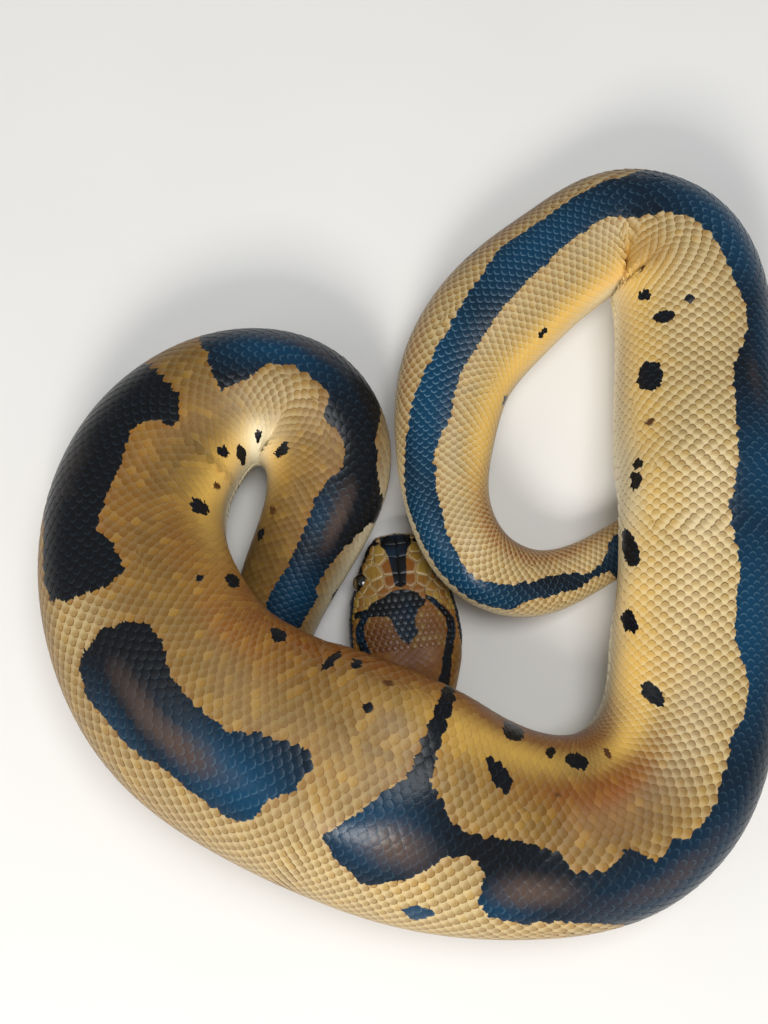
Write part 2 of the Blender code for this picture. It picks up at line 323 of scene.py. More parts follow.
@dataclass
class Flesh:
    """The surface of the skin as one table of rings, each cut in equal shares of its girth."""

    route: BodyRoute
    columns: int = 360
    angles: int = 240
    inset: float = 0.34
    side_power: float = 2.25
    crown_power: float = 2.1
    belly_power: float = 2.7
    head_power: float = 2.5
    flat_share: float = 0.045
    inner_limit: float = 0.93
    drape_gap: float = 0.5
    drape_core: float = 0.92
    belly_ramp: float = 15.0
    back_ramp: float = 38.0
    back_share: float = 0.45
    under_margin: float = 3.0
    head_fade: tuple[float, float] = (38.0, NAPE_END)
    tip_round: float = 1.2
    tip_rings: int = 14
    tip_gap: float = 0.3
    snout_reach: float = 10.0
    drape_step: float = 2.0
    side_margin: int = 12
    head_step: float = 0.4
    body_step: float = 0.75
    eye_back: float = 14.0
    eye_out: float = 10.4
    eye_height: float = 8.8
    eye_radius: float = 2.9
    socket_core: float = 2.3
    socket_rim: float = 2.6
    socket_depth: float = 0.62
    mouth_corner: float = 29.0
    groove_depth: float = 0.55
    groove_half: float = 0.75
    groove_fade: float = 3.0
    trough_depth: float = 0.35
    trough_half: float = 5.5
    trough_start: tuple[float, float] = (15.0, 7.0)
    trough_end: tuple[float, float] = (28.0, 12.0)
    temple_depth: float = 0.3
    temple_back: tuple[float, float] = (21.5, 4.5)
    temple_high: tuple[float, float] = (9.0, 3.0)
    temple_width: float = 10.0
    cheek: Hollow = Hollow(7.6, 7.4, 0.0, 3.2, 0.42, 1.3)
    nostril: Hollow = Hollow(2.8, 8.0, 0.25, 0.55, 0.8, 1.0, 0.06)

    def __post_init__(self) -> None:
        """Lays the rings and presses the mouth, sockets and hollows into them."""
        turn = np.linspace(0, np.pi / 2, self.tip_rings)
        tip = self.inset + self.tip_round * (1 - np.cos(turn))
        end = self.route.length - self.inset - self.tip_round * (1 - np.cos(turn[::-1]))
        head = np.arange(tip[-1] + self.head_step, self.head_fade[1], self.head_step)
        body = np.arange(head[-1] + self.body_step, end[0] - self.tip_gap, self.body_step)
        self.places = np.r_[tip, head, body, end]
        self.shrink = np.ones(len(self.places))
        self.shrink[: len(tip)] = np.sin(turn)
        self.shrink[-len(tip) :] = np.sin(turn[::-1])
        rings = self._rings()
        self._resample(rings)
        self._measure()
        self._press()
        self._resample(self.grid)
        self._measure()

    def head_profile(self, back: Array) -> list[Array]:
        """Half width, crown, chin and mouth height of the head at each distance back."""
        table = np.array(HEAD)
        return [np.interp(back, table[:, 0], column) for column in table.T[1:]]

    def _rings(self) -> Array:
        """Upright sections of head and body, blended at the nape.

        Returns:
            The points of every ring.
        """
        angle = np.linspace(0, 2 * np.pi, self.angles, endpoint=False)
        side = signed_power(np.sin(angle), 2 / self.side_power)
        power = np.where(np.cos(angle) > 0, 2 / self.crown_power, 2 / self.belly_power)
        level = 0.5 + 0.5 * signed_power(np.cos(angle), power)
        level = (np.maximum(level, self.flat_share) - self.flat_share) / (1 - self.flat_share)
        x, y, width, height, lift, heading, bend = self.route.at(self.places)
        half = np.repeat(width[:, None] / 2, self.angles, axis=1) - self.inset
        limit = self.inner_limit / np.maximum(np.abs(bend), TINY)
        inside = (side[None, :] < 0) == (bend[:, None] > 0)
        half = np.where(inside, np.minimum(half, limit[:, None] - self.inset), half)
        out = half * side
        up = self.inset + (height[:, None] - 2 * self.inset) * level
        up = up + self._drape(x, y, heading, out, level) + lift[:, None]

        head_side = signed_power(np.sin(angle), 2 / self.head_power)
        head_level = 0.5 + 0.5 * signed_power(np.cos(angle), 2 / self.head_power)
        wide, crown, chin, mouth = self.head_profile(self.places)
        head_out = (wide[:, None] - self.inset) * head_side
        tall = (crown - chin - 2 * self.inset)[:, None]
        head_up = (chin + self.inset)[:, None] + tall * head_level
        first, last = self.head_fade
        share = smooth((self.places - first) / (last - first))[:, None]
        out = head_out * (1 - share) + out * share
        up = head_up * (1 - share) + up * share

        centre = np.where(self.places < self.snout_reach, mouth, height * 0.5)[:, None]
        out = out * self.shrink[:, None]
        up = centre + (up - centre) * self.shrink[:, None]
        return self._placed(x, y, heading, out, up)

    def _placed(self, x: Array, y: Array, heading: Array, out: Array, up: Array) -> Array:
        """Points of upright sections, out being to the right of the heading.

        Args:
            x: Where the sections stand in x.
            y: Where the sections stand in y.
            heading: The way that the body runs at each section.
            out: Distances out to the right.
            up: Heights.

        Returns:
            The points.
        """
        along_x = x[:, None] + np.sin(heading)[:, None] * out
        along_y = y[:, None] - np.cos(heading)[:, None] * out
        return np.stack([along_x, along_y, up], axis=-1)

    def _drape(self, x: Array, y: Array, heading: Array, out: Array, level: Array) -> Array:
        """How high each point rises where the body lies over the neck, the head and the tail.

        Args:
            x: Where the sections stand in x.
            y: Where the sections stand in y.
            heading: The way that the body runs at each section.
            out: Distances out to the right.
            level: Heights before the drape.

        Returns:
            The rise of each point.
        """
        points = self._placed(x, y, heading, out, out * 0)
        mark = self.route.marks
        crossings = (
            ("arch_out", "right_c", mark["jaw"], mark["rise_low"] - self.under_margin),
            ("turn_a", "hook_b", mark["curl_c"] - 2 * self.under_margin, self.route.length),
        )
        total = np.zeros_like(out)
        for first, last, start, end in crossings:
            over = (self.places > mark[first]) & (self.places < mark[last])
            near = points[over]
            belly = self._raised_by(near, start, end, self.belly_ramp)
            back = self._raised_by(near, start, end, self.back_ramp) * self.back_share
            total[over] += belly * (1 - level) + back * level
        return total

    def _raised_by(self, points: Array, start: float, end: float, ramp: float) -> Array:
        """How high the length from start to end lifts what lies over each point, fading out over the ramp.

        Args:
            points: The points, one to a row.
            start: Where the length starts.
            end: Where the length ends.
            ramp: How far the lift fades out.

        Returns:
            The lift of each point.
        """
        places = np.arange(start, end, self.drape_step)
        x, y, width, height, lift, _, _ = self.route.at(places)
        rise = np.zeros(points.shape[:-1])
        for i in range(len(places)):
            away = np.hypot(points[..., 0] - x[i], points[..., 1] - y[i])
            fade = 1 - smooth((away - width[i] / 2 * self.drape_core) / ramp)
            rise = np.maximum(rise, (height[i] + lift[i] + self.drape_gap) * fade)
        return rise

    def _resample(self, rings: Array) -> None:
        """Cuts each ring in equal shares of its girth, from -0.5 to 0.5.

        Args:
            rings: The rings, as points.
        """
        closed = np.concatenate([rings, rings[:, :1]], axis=1)
        run = np.cumsum(np.linalg.norm(np.diff(closed, axis=1), axis=2), axis=1)
        run = np.concatenate([np.zeros((len(rings), 1)), run], axis=1)
        self.girth = run[:, -1]
        share = np.arange(self.columns) / self.columns
        self.grid = np.empty((len(rings), self.columns, 3))
        for i in range(len(rings)):
            for axis in range(3):
                self.grid[i, :, axis] = np.interp(share * run[i, -1], run[i], closed[i, :, axis])

    def _measure(self) -> None:
        """Works out normals, the run from the snout along the side, and the arc from crown to mouth."""
        ahead = np.gradient(self.grid, axis=0)
        across = np.roll(self.grid, -1, axis=1) - np.roll(self.grid, 1, axis=1)
        self.normals = unit(np.cross(across, ahead))
        self.normals[0] = self.normals[1].mean(axis=0)
        self.normals[-1] = self.normals[-2].mean(axis=0)
        quarter = self.columns // 4
        side = quarter - self.side_margin
        edge = self.grid[:, [side, -side]]
        step = np.linalg.norm(np.diff(edge, axis=0), axis=2).mean(axis=1)
        self.run = np.r_[0, np.cumsum(step)]
        mouth = self.head_profile(self.places)[3]
        half = self.grid[:, : self.columns // 2, 2]
        below = half < mouth[:, None]
        first = np.where(below.any(axis=1), below.argmax(axis=1), quarter)
        row = np.arange(len(first))
        before = np.maximum(first - 1, 0)
        drop = half[row, before] - half[row, first]
        part = np.where(drop > TINY, (half[row, before] - mouth) / np.maximum(drop, TINY), 0.0)
        self.mouth_arc = (before + np.clip(part, 0, 1)) / self.columns * self.girth

    def _press(self) -> None:
        """Presses the mouth line, eye sockets, cheek hollows and nostrils into the head."""
        count = int(np.searchsorted(self.places, self.head_fade[1]))
        back = self.places[:count, None]
        share = wrapped(np.arange(self.columns) / self.columns)[None, :]
        arc = np.abs(share) * self.girth[:count, None]
        high = self.grid[:count, :, 2]
        wide = self.head_profile(self.places[:count])[0][:, None]
        outer = np.abs(share) > self.cheek.least_share
        depth = np.zeros_like(high)
        open_mouth = 1 - smooth((back - self.mouth_corner + self.groove_fade / 2) / self.groove_fade)
        near = np.abs(arc - self.mouth_arc[:count, None]) / self.groove_half
        depth += self.groove_depth * open_mouth * np.clip(1 - near**2, 0, 1)
        socket = Hollow(self.eye_back, self.eye_height, self.socket_core, self.socket_rim, self.socket_depth)
        for hollow in (socket, self.cheek, self.nostril):
            depth += hollow.at(back, high, share)
        start, opening = self.trough_start
        end, closing = self.trough_end
        trough = (1 - smooth(arc / self.trough_half)) * smooth((back - start) / opening)
        trough = trough * (1 - smooth((back - end) / closing))
        depth += self.trough_depth * trough
        temple = bell(back, *self.temple_back) * bell(high, *self.temple_high)
        depth += outer * self.temple_depth * temple * (wide > self.temple_width)
        self.grid[:count] -= self.normals[:count] * depth[..., None]

    def index(self, places: Array) -> Array:
        """The ring number, with its fraction, at each distance back."""
        return np.interp(places, self.places, np.arange(len(self.places)))

    def sample(self, table: Array, ring: Array, share: Array) -> Array:
        """Reads a table of the surface between its rings and columns.

        Args:
            table: Values at each ring and column.
            ring: Ring numbers with fractions.
            share: Shares of the girth.

        Returns:
            The values there.
        """
        i = np.clip(np.floor(ring).astype(int), 0, len(self.places) - 2)
        column = (share % 1.0) * self.columns
        j = np.floor(column).astype(int) % self.columns
        k = (j + 1) % self.columns
        down = np.clip(ring - i, 0, 1)[..., None]
        over = (column - np.floor(column))[..., None]
        near = table[i, j] * (1 - over) + table[i, k] * over
        far = table[i + 1, j] * (1 - over) + table[i + 1, k] * over
        return near * (1 - down) + far * down

    def points(self, places: Array, share: Array) -> Array:
        """Points of the skin."""
        return self.sample(self.grid, self.index(places), share)

    def girth_at(self, places: Array) -> Array:
        """The girth at each distance back."""
        return np.interp(places, self.places, self.girth)


@dataclass(frozen=True)
class DarkPatch:
    """A dark blotch between two edges, each a run of (distance back, share of girth)."""

    name: str
    inner: Knots
    outer: Knots

    def holds(self, place: Array, share: Array) -> Array:
        """Whether each place lies in the blotch.

        Args:
            place: Distances back from the snout.
            share: Shares of the girth.

        Returns:
            True where it does.
        """
        start = min(self.inner[0][0], self.outer[0][0])
        end = max(self.inner[-1][0], self.outer[-1][0])
        between = (share > read(self.inner, place)) & (share < read(self.outer, place))
        return between & (place > start) & (place < end)


@dataclass(frozen=True)
class DarkSpot:
    """A small dark spot: where it is, its half length and half width, and its slant in degrees."""

    place: float
    share: float
    half_length: float
    half_width: float
    slant: float = 0.0
    brown: bool = False

    def holds(self, place: Array, share: Array, girth: Array) -> Array:
        """Whether each place lies in the spot.

        Args:
            place: Distances back from the snout.
            share: Shares of the girth.
            girth: The girth at each place.

        Returns:
            True where it does.
        """
        along = place - self.place
        across = wrapped(share - self.share) * girth
        turn = math.radians(self.slant)
        u = along * math.cos(turn) + across * math.sin(turn)
        v = across * math.cos(turn) - along * math.sin(turn)
        return (u / self.half_length) ** 2 + (v / self.half_width) ** 2 < 1


@dataclass(frozen=True)
class Glow:
    """A soft oval area of a tint: middle, reach along and round, and strength."""

    place: float
    share: float
    reach: float
    spread: float
    strength: float

    def at(self, place: Array, share: Array) -> Array:
        """How strong the tint is at each place.

        Args:
            place: Distances back from the snout.
            share: Shares of the girth.

        Returns:
            The strength, from 0 up to the glow's own.
        """
        u = (place - self.place) / self.reach
        v = wrapped(share - self.share) / self.spread
        return self.strength * np.exp(-(u**2 + v**2))


def rows_of(kind: type, *rows: tuple[Any, ...]) -> tuple[Any, ...]:
    """Things of one kind, one from each row of values."""
    return tuple(kind(*row) for row in rows)


PATCHES = (
    DarkPatch(
        "neck",
        ((54, -0.11), (62, -0.13), (76, -0.09), (92, -0.12), (104, -0.06), (112, 0.0)),
        ((54, 0.11), (64, 0.1), (78, 0.13), (92, 0.1), (104, 0.06), (112, 0.0)),
    ),
    DarkPatch(
        "rise",
        (
            (120, 0.02), (126, -0.02), (131, -0.03), (137, -0.016), (141, -0.003), (160, -0.006),
            (167, 0.018), (170, 0.046), (175, 0.05), (179, 0.025), (182, 0.017), (187, 0.056),
            (192, 0.062), (200, 0.046), (206, 0.0), (213, -0.014),
        ),
        (
            (120, 0.06), (126, 0.12), (133, 0.134), (137, 0.136), (138, 0.118), (144, 0.112), (150, 0.13),
            (157, 0.16), (160, 0.19), (162, 0.26), (162.6, 0.33), (164.4, 0.33), (165, 0.25),
            (167, 0.185), (169, 0.15), (175, 0.14), (178, 0.158), (181, 0.2), (185, 0.27), (192, 0.3),
            (206, 0.29), (213, 0.24),
        ),
    ),
    DarkPatch(
        "arch",
        (
            (223, 0.02), (226.5, -0.012), (230, -0.018), (232, 0.02), (237, 0.045), (245, 0.026),
            (257, 0.035), (262, 0.042), (267, 0.008), (274, -0.004), (276.5, 0.03),
        ),
        (
            (223, 0.24), (229, 0.3), (240, 0.31), (250, 0.28), (256, 0.2), (261, 0.168), (272, 0.158),
            (275, 0.143), (276.5, 0.11),
        ),
    ),
    DarkPatch(
        "left",
        (
            (285.8, 0.06), (287, 0.015), (290, -0.014), (296, -0.024), (305, -0.004), (325, 0.003),
            (332, -0.013), (344, -0.021), (347.3, -0.002),
        ),
        (
            (285.8, 0.06), (288, 0.1), (291, 0.127), (296, 0.137), (309, 0.126), (316, 0.108), (326, 0.108),
            (333, 0.117), (338, 0.1), (341, 0.055), (345, 0.035), (347.3, 0.0),
        ),
    ),
    DarkPatch(
        "base",
        (
            (355.5, 0.075), (360, 0.042), (365, 0.0), (369.4, -0.033), (370, -0.145), (371.5, -0.25),
            (373, -0.19), (374.5, -0.15), (374, -0.075), (375.2, -0.04), (381, -0.01), (386, 0.008),
            (404, 0.008), (410, 0.017), (412.5, 0.035), (413.5, 0.054), (422, 0.057), (426, 0.029),
            (428.5, 0.05), (431, 0.079), (435, 0.057), (438, 0.079), (446, 0.079), (452, 0.066),
            (461, 0.058), (466, 0.076), (474, 0.078), (485, 0.042), (503, 0.04), (511, 0.027),
            (518, 0.017), (527, 0.036), (550, 0.034), (558, 0.042), (563, 0.062), (568, 0.079),
            (575, 0.082), (581, 0.062), (592, 0.05), (600, 0.036), (605, 0.01), (609, -0.012),
            (614, -0.02), (620, -0.001), (630, -0.004), (645, -0.016), (660, -0.023), (674, -0.03),
            (680, -0.017), (694, -0.01), (700, 0.012), (705, 0.037), (723, 0.044), (728, 0.058),
            (733, 0.067), (738, 0.084), (744, 0.055), (750, 0.02), (755, -0.008), (761, -0.006),
            (764, 0.02), (768, 0.05), (772, 0.03), (776, -0.03), (779, -0.09), (782, -0.04), (788, -0.05),
            (797, -0.08), (802, 0.0), (804, 0.08),
        ),
        (
            (355.5, 0.075), (359, 0.1), (365, 0.118), (369, 0.133), (373, 0.117), (378, 0.096),
            (382, 0.072), (385, 0.047), (390, 0.042), (393.5, 0.056), (394.5, 0.11), (397, 0.135),
            (404, 0.146), (410, 0.142), (418, 0.158), (422, 0.19), (426, 0.25), (434, 0.3), (446, 0.31),
            (458, 0.25), (468, 0.19), (482, 0.17), (496, 0.2), (508, 0.22), (520, 0.18), (538, 0.17),
            (552, 0.21), (566, 0.24), (580, 0.21), (596, 0.24), (608, 0.25), (613, 0.135), (619, 0.105),
            (630, 0.1), (641, 0.103), (647, 0.108), (656, 0.084), (664, 0.072), (674, 0.067),
            (681, 0.078), (690, 0.11), (698, 0.133), (705, 0.155), (711, 0.18), (716, 0.195),
            (728, 0.185), (741, 0.195), (747, 0.17), (749, 0.117), (752, 0.1), (759, 0.093), (763, 0.108),
            (768, 0.084), (773, 0.1), (776, 0.3), (781, 0.32), (783, 0.12), (790, 0.1), (798, 0.13),
            (804, 0.08),
        ),
    ),
    DarkPatch(
        "tail",
        ((811, 0.0), (815, -0.1), (828, -0.12), (838, -0.09), (844, 0.0)),
        ((811, 0.0), (816, 0.2), (830, 0.12), (839, 0.15), (844, 0.0)),
    ),
    DarkPatch("tip", ((850, 0.0), (854, -0.2), (866, -0.3)), ((850, 0.0), (854, 0.2), (866, 0.3))),
)  # fmt: skip

SPOTS = rows_of(
    DarkSpot,
    (146, -0.152, 1.7, 1.8), (153.5, -0.133, 1.0, 1.3, 0, True), (176.5, -0.112, 3.7, 2.3, 30),
    (200, -0.133, 2.2, 2.4, -40), (216, -0.172, 3.9, 3.2, -25), (218.5, -0.2, 1.8, 1.4, -30),
    (224, -0.132, 1.9, 2.4, -30), (238.5, -0.161, 1.4, 1.5, 0, True), (251.7, -0.137, 3.6, 3.4, -35),
    (284, -0.11, 1.4, 0.9), (288.3, -0.163, 2.9, 2.9, 15), (321.5, -0.15, 3.8, 2.3, 10),
    (340.8, -0.14, 1.8, 3.3, 20), (347.6, -0.142, 1.2, 1.8), (356.7, -0.138, 1.2, 1.0, 0, True),
    (354, -0.096, 1.4, 0.9), (382.4, 0.158, 3.2, 3.0, -40), (392, -0.08, 5.0, 2.6, 35),
    (395, -0.178, 4.0, 5.4, 10), (409.5, -0.15, 1.8, 2.5, 35), (410.8, -0.068, 0.9, 0.8, 0, True),
    (420, -0.131, 5.6, 2.6, 8), (436.7, -0.124, 1.8, 1.6, -40, True), (467.3, -0.1, 4.2, 2.2, -48),
    (487.6, -0.166, 3.6, 2.7, -55), (507, -0.178, 6.4, 2.9, -35), (525.6, -0.177, 2.7, 2.5),
    (530.3, -0.17, 1.6, 2.0), (541.7, -0.13, 1.0, 1.5, 0, True), (555, -0.126, 4.4, 4.0),
    (572.5, -0.093, 1.7, 2.8), (576.8, -0.037, 1.0, 1.5), (581, -0.131, 2.0, 2.2),
    (594, -0.121, 1.3, 1.0, 0, True), (655.2, -0.15, 1.7, 1.2), (300, 0.33, 4.5, 3.0, 20),
    (324, 0.31, 3.0, 3.5, -20), (352, 0.335, 5.0, 3.2, 10), (402, 0.33, 3.4, 2.6, -15),
    (275, -0.27, 3.5, 3.0, 20), (330, -0.255, 4.0, 2.6, -15), (470, 0.29, 3.5, 3.2, 20),
    (530, 0.27, 4.0, 3.4, -10), (630, 0.235, 3.6, 2.0, 10), (652, 0.21, 2.6, 2.4, -20),
    (684, -0.21, 2.4, 1.8, 10), (140, 0.24, 2.0, 2.2, 10), (171, 0.25, 2.2, 1.8, -20),
)  # fmt: skip

# Head markings by distance back, with the animal's right side positive: edges of the crown patch, the half
# width of the stripe on the snout, the middle of the side stripes and the height of the band through the eye.
SNOUT_STRIPE: Knots = (
    (0.0, 0.0), (0.9, 0.4), (1.5, 4.3), (4.2, 4.3), (5.6, 3.1), (7.5, 2.5), (9.0, 2.3), (14.0, 1.8),
    (16.1, 1.6), (16.9, 0.0),
)  # fmt: skip
CROWN_LEFT: Knots = (
    (17.2, 0.0), (17.8, -3.0), (18.8, -4.6), (20.2, -7.2), (21.6, -7.6), (22.3, -13.6), (23.9, -13.8),
    (24.5, -5.0), (25.5, -3.7), (27.0, -3.3), (30.0, -2.3), (31.6, -1.2), (33.0, 0.2),
)  # fmt: skip
CROWN_RIGHT: Knots = (
    (17.2, 0.0), (17.8, 2.4), (18.8, 4.4), (20.0, 5.2), (21.0, 6.6), (22.4, 5.8), (23.2, 4.2), (25.0, 3.4),
    (27.0, 2.7), (29.6, 3.4), (31.0, 2.2), (33.0, 0.4),
)  # fmt: skip
SIDE_STRIPE: Knots = (
    (19.4, 6.4), (21.0, 8.0), (23.7, 10.6), (26.6, 12.5), (30.0, 12.6), (35.5, 11.0), (41.0, 9.6),
    (47.0, 7.6), (54.0, 4.0),
)  # fmt: skip
SIDE_STRIPE_HALF: Knots = ((19.4, 0.0), (20.4, 1.0), (26.0, 1.2), (40.0, 1.3), (47.0, 2.2), (54.0, 4.5))
EYE_BAND: Knots = (
    (1.0, 6.8), (6.0, 7.7), (14.0, 8.9), (20.0, 9.6), (26.0, 10.4), (32.0, 10.2), (37.0, 9.0),
)  # fmt: skip
EYE_BAND_HALF: Knots = (
    (1.0, 0.0), (2.5, 0.9), (9.0, 1.1), (14.0, 1.8), (22.0, 1.7), (31.0, 1.9), (37.0, 0.0),
)  # fmt: skip


@dataclass
class Markings:
    """What colour each place of the animal has, as masks from 0 to 1, with painted shade, highlights and
    reflection among them.
    """

    flesh: Flesh
    # Blue on the dark scales: partly their own iridescence, partly painted reflection of the sky.
    sheen_glows: tuple[Glow, ...] = rows_of(
        Glow,
        (135, 0.05, 9, 0.12, 0.9), (156, 0.02, 8, 0.05, 0.4), (200, 0.10, 11, 0.06, 0.95),
        (332, 0.06, 18, 0.06, 1.0), (306, 0.12, 12, 0.03, 0.5), (366, 0.05, 12, 0.06, 0.9),
        (382, 0.158, 6, 0.04, 0.9), (398, 0.12, 10, 0.04, 0.7), (436, 0.13, 24, 0.08, 0.5),
        (490, 0.08, 30, 0.09, 0.95), (528, 0.1, 20, 0.09, 0.8), (566, 0.14, 20, 0.06, 0.5),
        (594, 0.12, 16, 0.09, 1.0), (640, 0.05, 26, 0.09, 0.9), (690, 0.07, 30, 0.1, 0.95),
        (730, 0.15, 24, 0.12, 1.0), (800, 0.0, 30, 0.2, 0.6),
    )  # fmt: skip
    core_glows: tuple[Glow, ...] = rows_of(
        Glow,
        (157, 0.075, 9, 0.03, 0.9), (196, 0.14, 12, 0.03, 0.4), (245, 0.12, 16, 0.05, 0.25),
        (312, 0.062, 17, 0.026, 1.0), (372, 0.055, 9, 0.035, 1.0), (405, 0.085, 9, 0.03, 0.9),
        (432, 0.125, 14, 0.03, 0.6), (500, 0.13, 20, 0.02, 0.4), (556, 0.085, 12, 0.02, 0.3),
    )  # fmt: skip
    beige_glows: tuple[Glow, ...] = rows_of(
        Glow,
        (196, -0.02, 14, 0.08, 0.4), (345, 0.17, 60, 0.14, 0.5), (282, 0.1, 12, 0.06, 0.4),
        (400, 0.15, 50, 0.12, 0.3), (424, -0.01, 24, 0.08, -0.3), (510, 0.0, 40, 0.14, 0.35),
    )  # fmt: skip
    # Cream of the belly side and the inner bends; the glow at 197 is a painted highlight near the top of the
    # arch's inner bend.
    cream_and_highlight_glows: tuple[Glow, ...] = rows_of(
        Glow,
        (192, -0.225, 28, 0.06, 1.0), (197, -0.15, 14, 0.06, 1.0), (236, -0.25, 22, 0.05, 0.6),
        (606, -0.24, 28, 0.05, 1.0), (150, 0.225, 24, 0.06, 1.0), (724, 0.25, 30, 0.06, 1.0),
        (520, -0.2, 50, 0.04, 0.5), (626, -0.225, 40, 0.04, 0.5),
    )  # fmt: skip
    gold_glows: tuple[Glow, ...] = rows_of(
        Glow,
        (182, -0.17, 20, 0.06, 0.9), (206, -0.15, 14, 0.05, 0.6), (236, -0.17, 26, 0.055, 1.0),
        (266, -0.175, 22, 0.045, 0.6), (394, -0.135, 26, 0.045, 0.8), (300, -0.2, 20, 0.04, 0.4),
        (447, -0.12, 14, 0.03, 0.7), (474, -0.17, 24, 0.06, 0.8), (545, -0.15, 46, 0.05, 0.45),
        (602, -0.19, 22, 0.08, 1.0), (601, -0.11, 13, 0.06, 0.8), (636, -0.22, 30, 0.07, 1.0),
        (666, -0.175, 34, 0.05, 0.9), (704, -0.13, 26, 0.05, 0.7),
    )  # fmt: skip
    # Orange-brown of the flanks and nape: on the inner flanks of the front coils and by the tail much of it
    # is painted shade.
    rust_and_shade_glows: tuple[Glow, ...] = rows_of(
        Glow,
        (90, 0.0, 40, 0.5, 0.35), (262, -0.19, 22, 0.05, 0.3), (266, -0.1, 14, 0.04, 0.45),
        (310, -0.108, 26, 0.03, 0.5), (304, -0.175, 34, 0.055, 0.6), (345, -0.19, 46, 0.04, 1.8),
        (414, -0.2, 34, 0.04, 1.6), (441, -0.21, 20, 0.05, 1.6), (418, -0.05, 18, 0.04, 0.25),
        (600, -0.09, 12, 0.055, 0.6), (641, 0.17, 22, 0.05, 0.6), (684, 0.16, 16, 0.04, 0.6),
        (36, 0.0, 25, 0.17, 1.0), (420, -0.076, 26, 0.024, 0.8), (436, -0.058, 14, 0.022, 0.6),
        (746, -0.145, 28, 0.06, 1.3), (254, 0.0, 26, 0.05, 0.3), (744, -0.13, 26, 0.06, 0.8),
    )  # fmt: skip
    # Dark brown: mostly painted shade on the inner flanks where the coils lie against each other, with the
    # nape's own brown.
    umber_and_shade_glows: tuple[Glow, ...] = rows_of(
        Glow,
        (40, 0.0, 24, 0.15, 0.75), (350, -0.225, 50, 0.04, 0.6), (420, -0.235, 40, 0.04, 0.5),
        (630, 0.18, 26, 0.05, 0.5), (742, -0.2, 16, 0.06, 0.6), (602, -0.075, 12, 0.055, 0.3),
        (420, -0.074, 26, 0.024, 0.35),
    )  # fmt: skip
    # Mustard over the front coils turning to beige towards the tail: partly the animal's own colour, partly
    # painted shade on the front coils, which lay in less light.
    beige_run: Knots = (
        (0, 0.1), (340, 0.15), (380, 0.22), (440, 0.25), (456, 0.65), (540, 0.75), (864, 0.75),
    )  # fmt: skip
    glint_run: Knots = (
        (0, 0.3), (120, 0.6), (180, 0.45), (280, 0.35), (440, 0.35), (480, 0.5), (600, 0.6), (680, 1.0),
        (864, 1.0),
    )  # fmt: skip
    rim_share: float = 0.5
    belly_from: float = 0.31
    belly_fade: float = 0.07
    neighbour: float = 1.9
    top_share: float = 0.25
    band_share: float = 0.1

    def masks(self, place: Array, share: Array, point: Array) -> dict[str, Array]:
        """Works out the masks.

        Args:
            place: Distances back from the snout.
            share: Shares of the girth.
            point: The points themselves, in millimetres.

        Returns:
            The masks by name.
        """
        share = wrapped(share)
        girth = self.flesh.girth_at(place)
        dark = np.zeros(len(place), bool)
        for patch in PATCHES:
            dark |= patch.holds(place, share)
        brown = np.zeros(len(place), bool)
        for spot in SPOTS:
            inside = spot.holds(place, share, girth)
            brown |= inside & spot.brown
            dark |= inside & (not spot.brown)
        on_head = place < NAPE_END
        dark = np.where(on_head, self.head_dark(place, share, point), dark)
        away = np.abs(wrapped(share - read(BACK_LINE, place)))
        beside = self._beside(place, share, girth) * (~dark) * (~on_head)
        belly = smooth((away - self.belly_from) / self.belly_fade)
        masks = {
            "dark": dark.astype(float),
            # brown and rust hold painted shade on the inner flanks besides the animal's own brown spots and
            # orange
            "brown": brown + self._sum(self.umber_and_shade_glows, place, share),
            "pale": belly + self._sum(self.cream_and_highlight_glows, place, share),
            "beige": read(self.beige_run, place) + self._sum(self.beige_glows, place, share),
            "gold": self._sum(self.gold_glows, place, share),
            "rust": self._sum(self.rust_and_shade_glows, place, share) + self.rim_share * beside,
            "core": self._sum(self.core_glows, place, share),
            "sheen": np.max([glow.at(place, share) for glow in self.sheen_glows], axis=0),
            "glint": read(self.glint_run, place),
        }
        return {name: np.clip(values, 0, 1) for name, values in masks.items()}

    def smoothness(self, place: Array, share: Array) -> Array:
        """How flat the scales lie: flattest where the skin is gold and pale, on the inside of a bend."""
        return np.clip(self._sum(self.gold_glows + self.cream_and_highlight_glows, place, wrapped(share)), 0, 1)

    def _sum(self, glows: Sequence[Glow], place: Array, share: Array) -> Array:
        """The glows added up."""
        return np.sum([glow.at(place, share) for glow in glows], axis=0)

    def _beside(self, place: Array, share: Array, girth: Array) -> Array:
        """How much of what lies a scale away is dark.

        Args:
            place: Distances back from the snout.
            share: Shares of the girth.
            girth: The girth at each place.

        Returns:
            The share that is dark, from 0 to 1.
        """
        total = np.zeros(len(place))
        for turn in np.arange(6) * math.pi / 3:
            near = place + self.neighbour * math.cos(turn)
            over = share + self.neighbour * math.sin(turn) / girth
            for patch in PATCHES:
                total += patch.holds(near, over)
        return np.clip(total / 6, 0, 1)

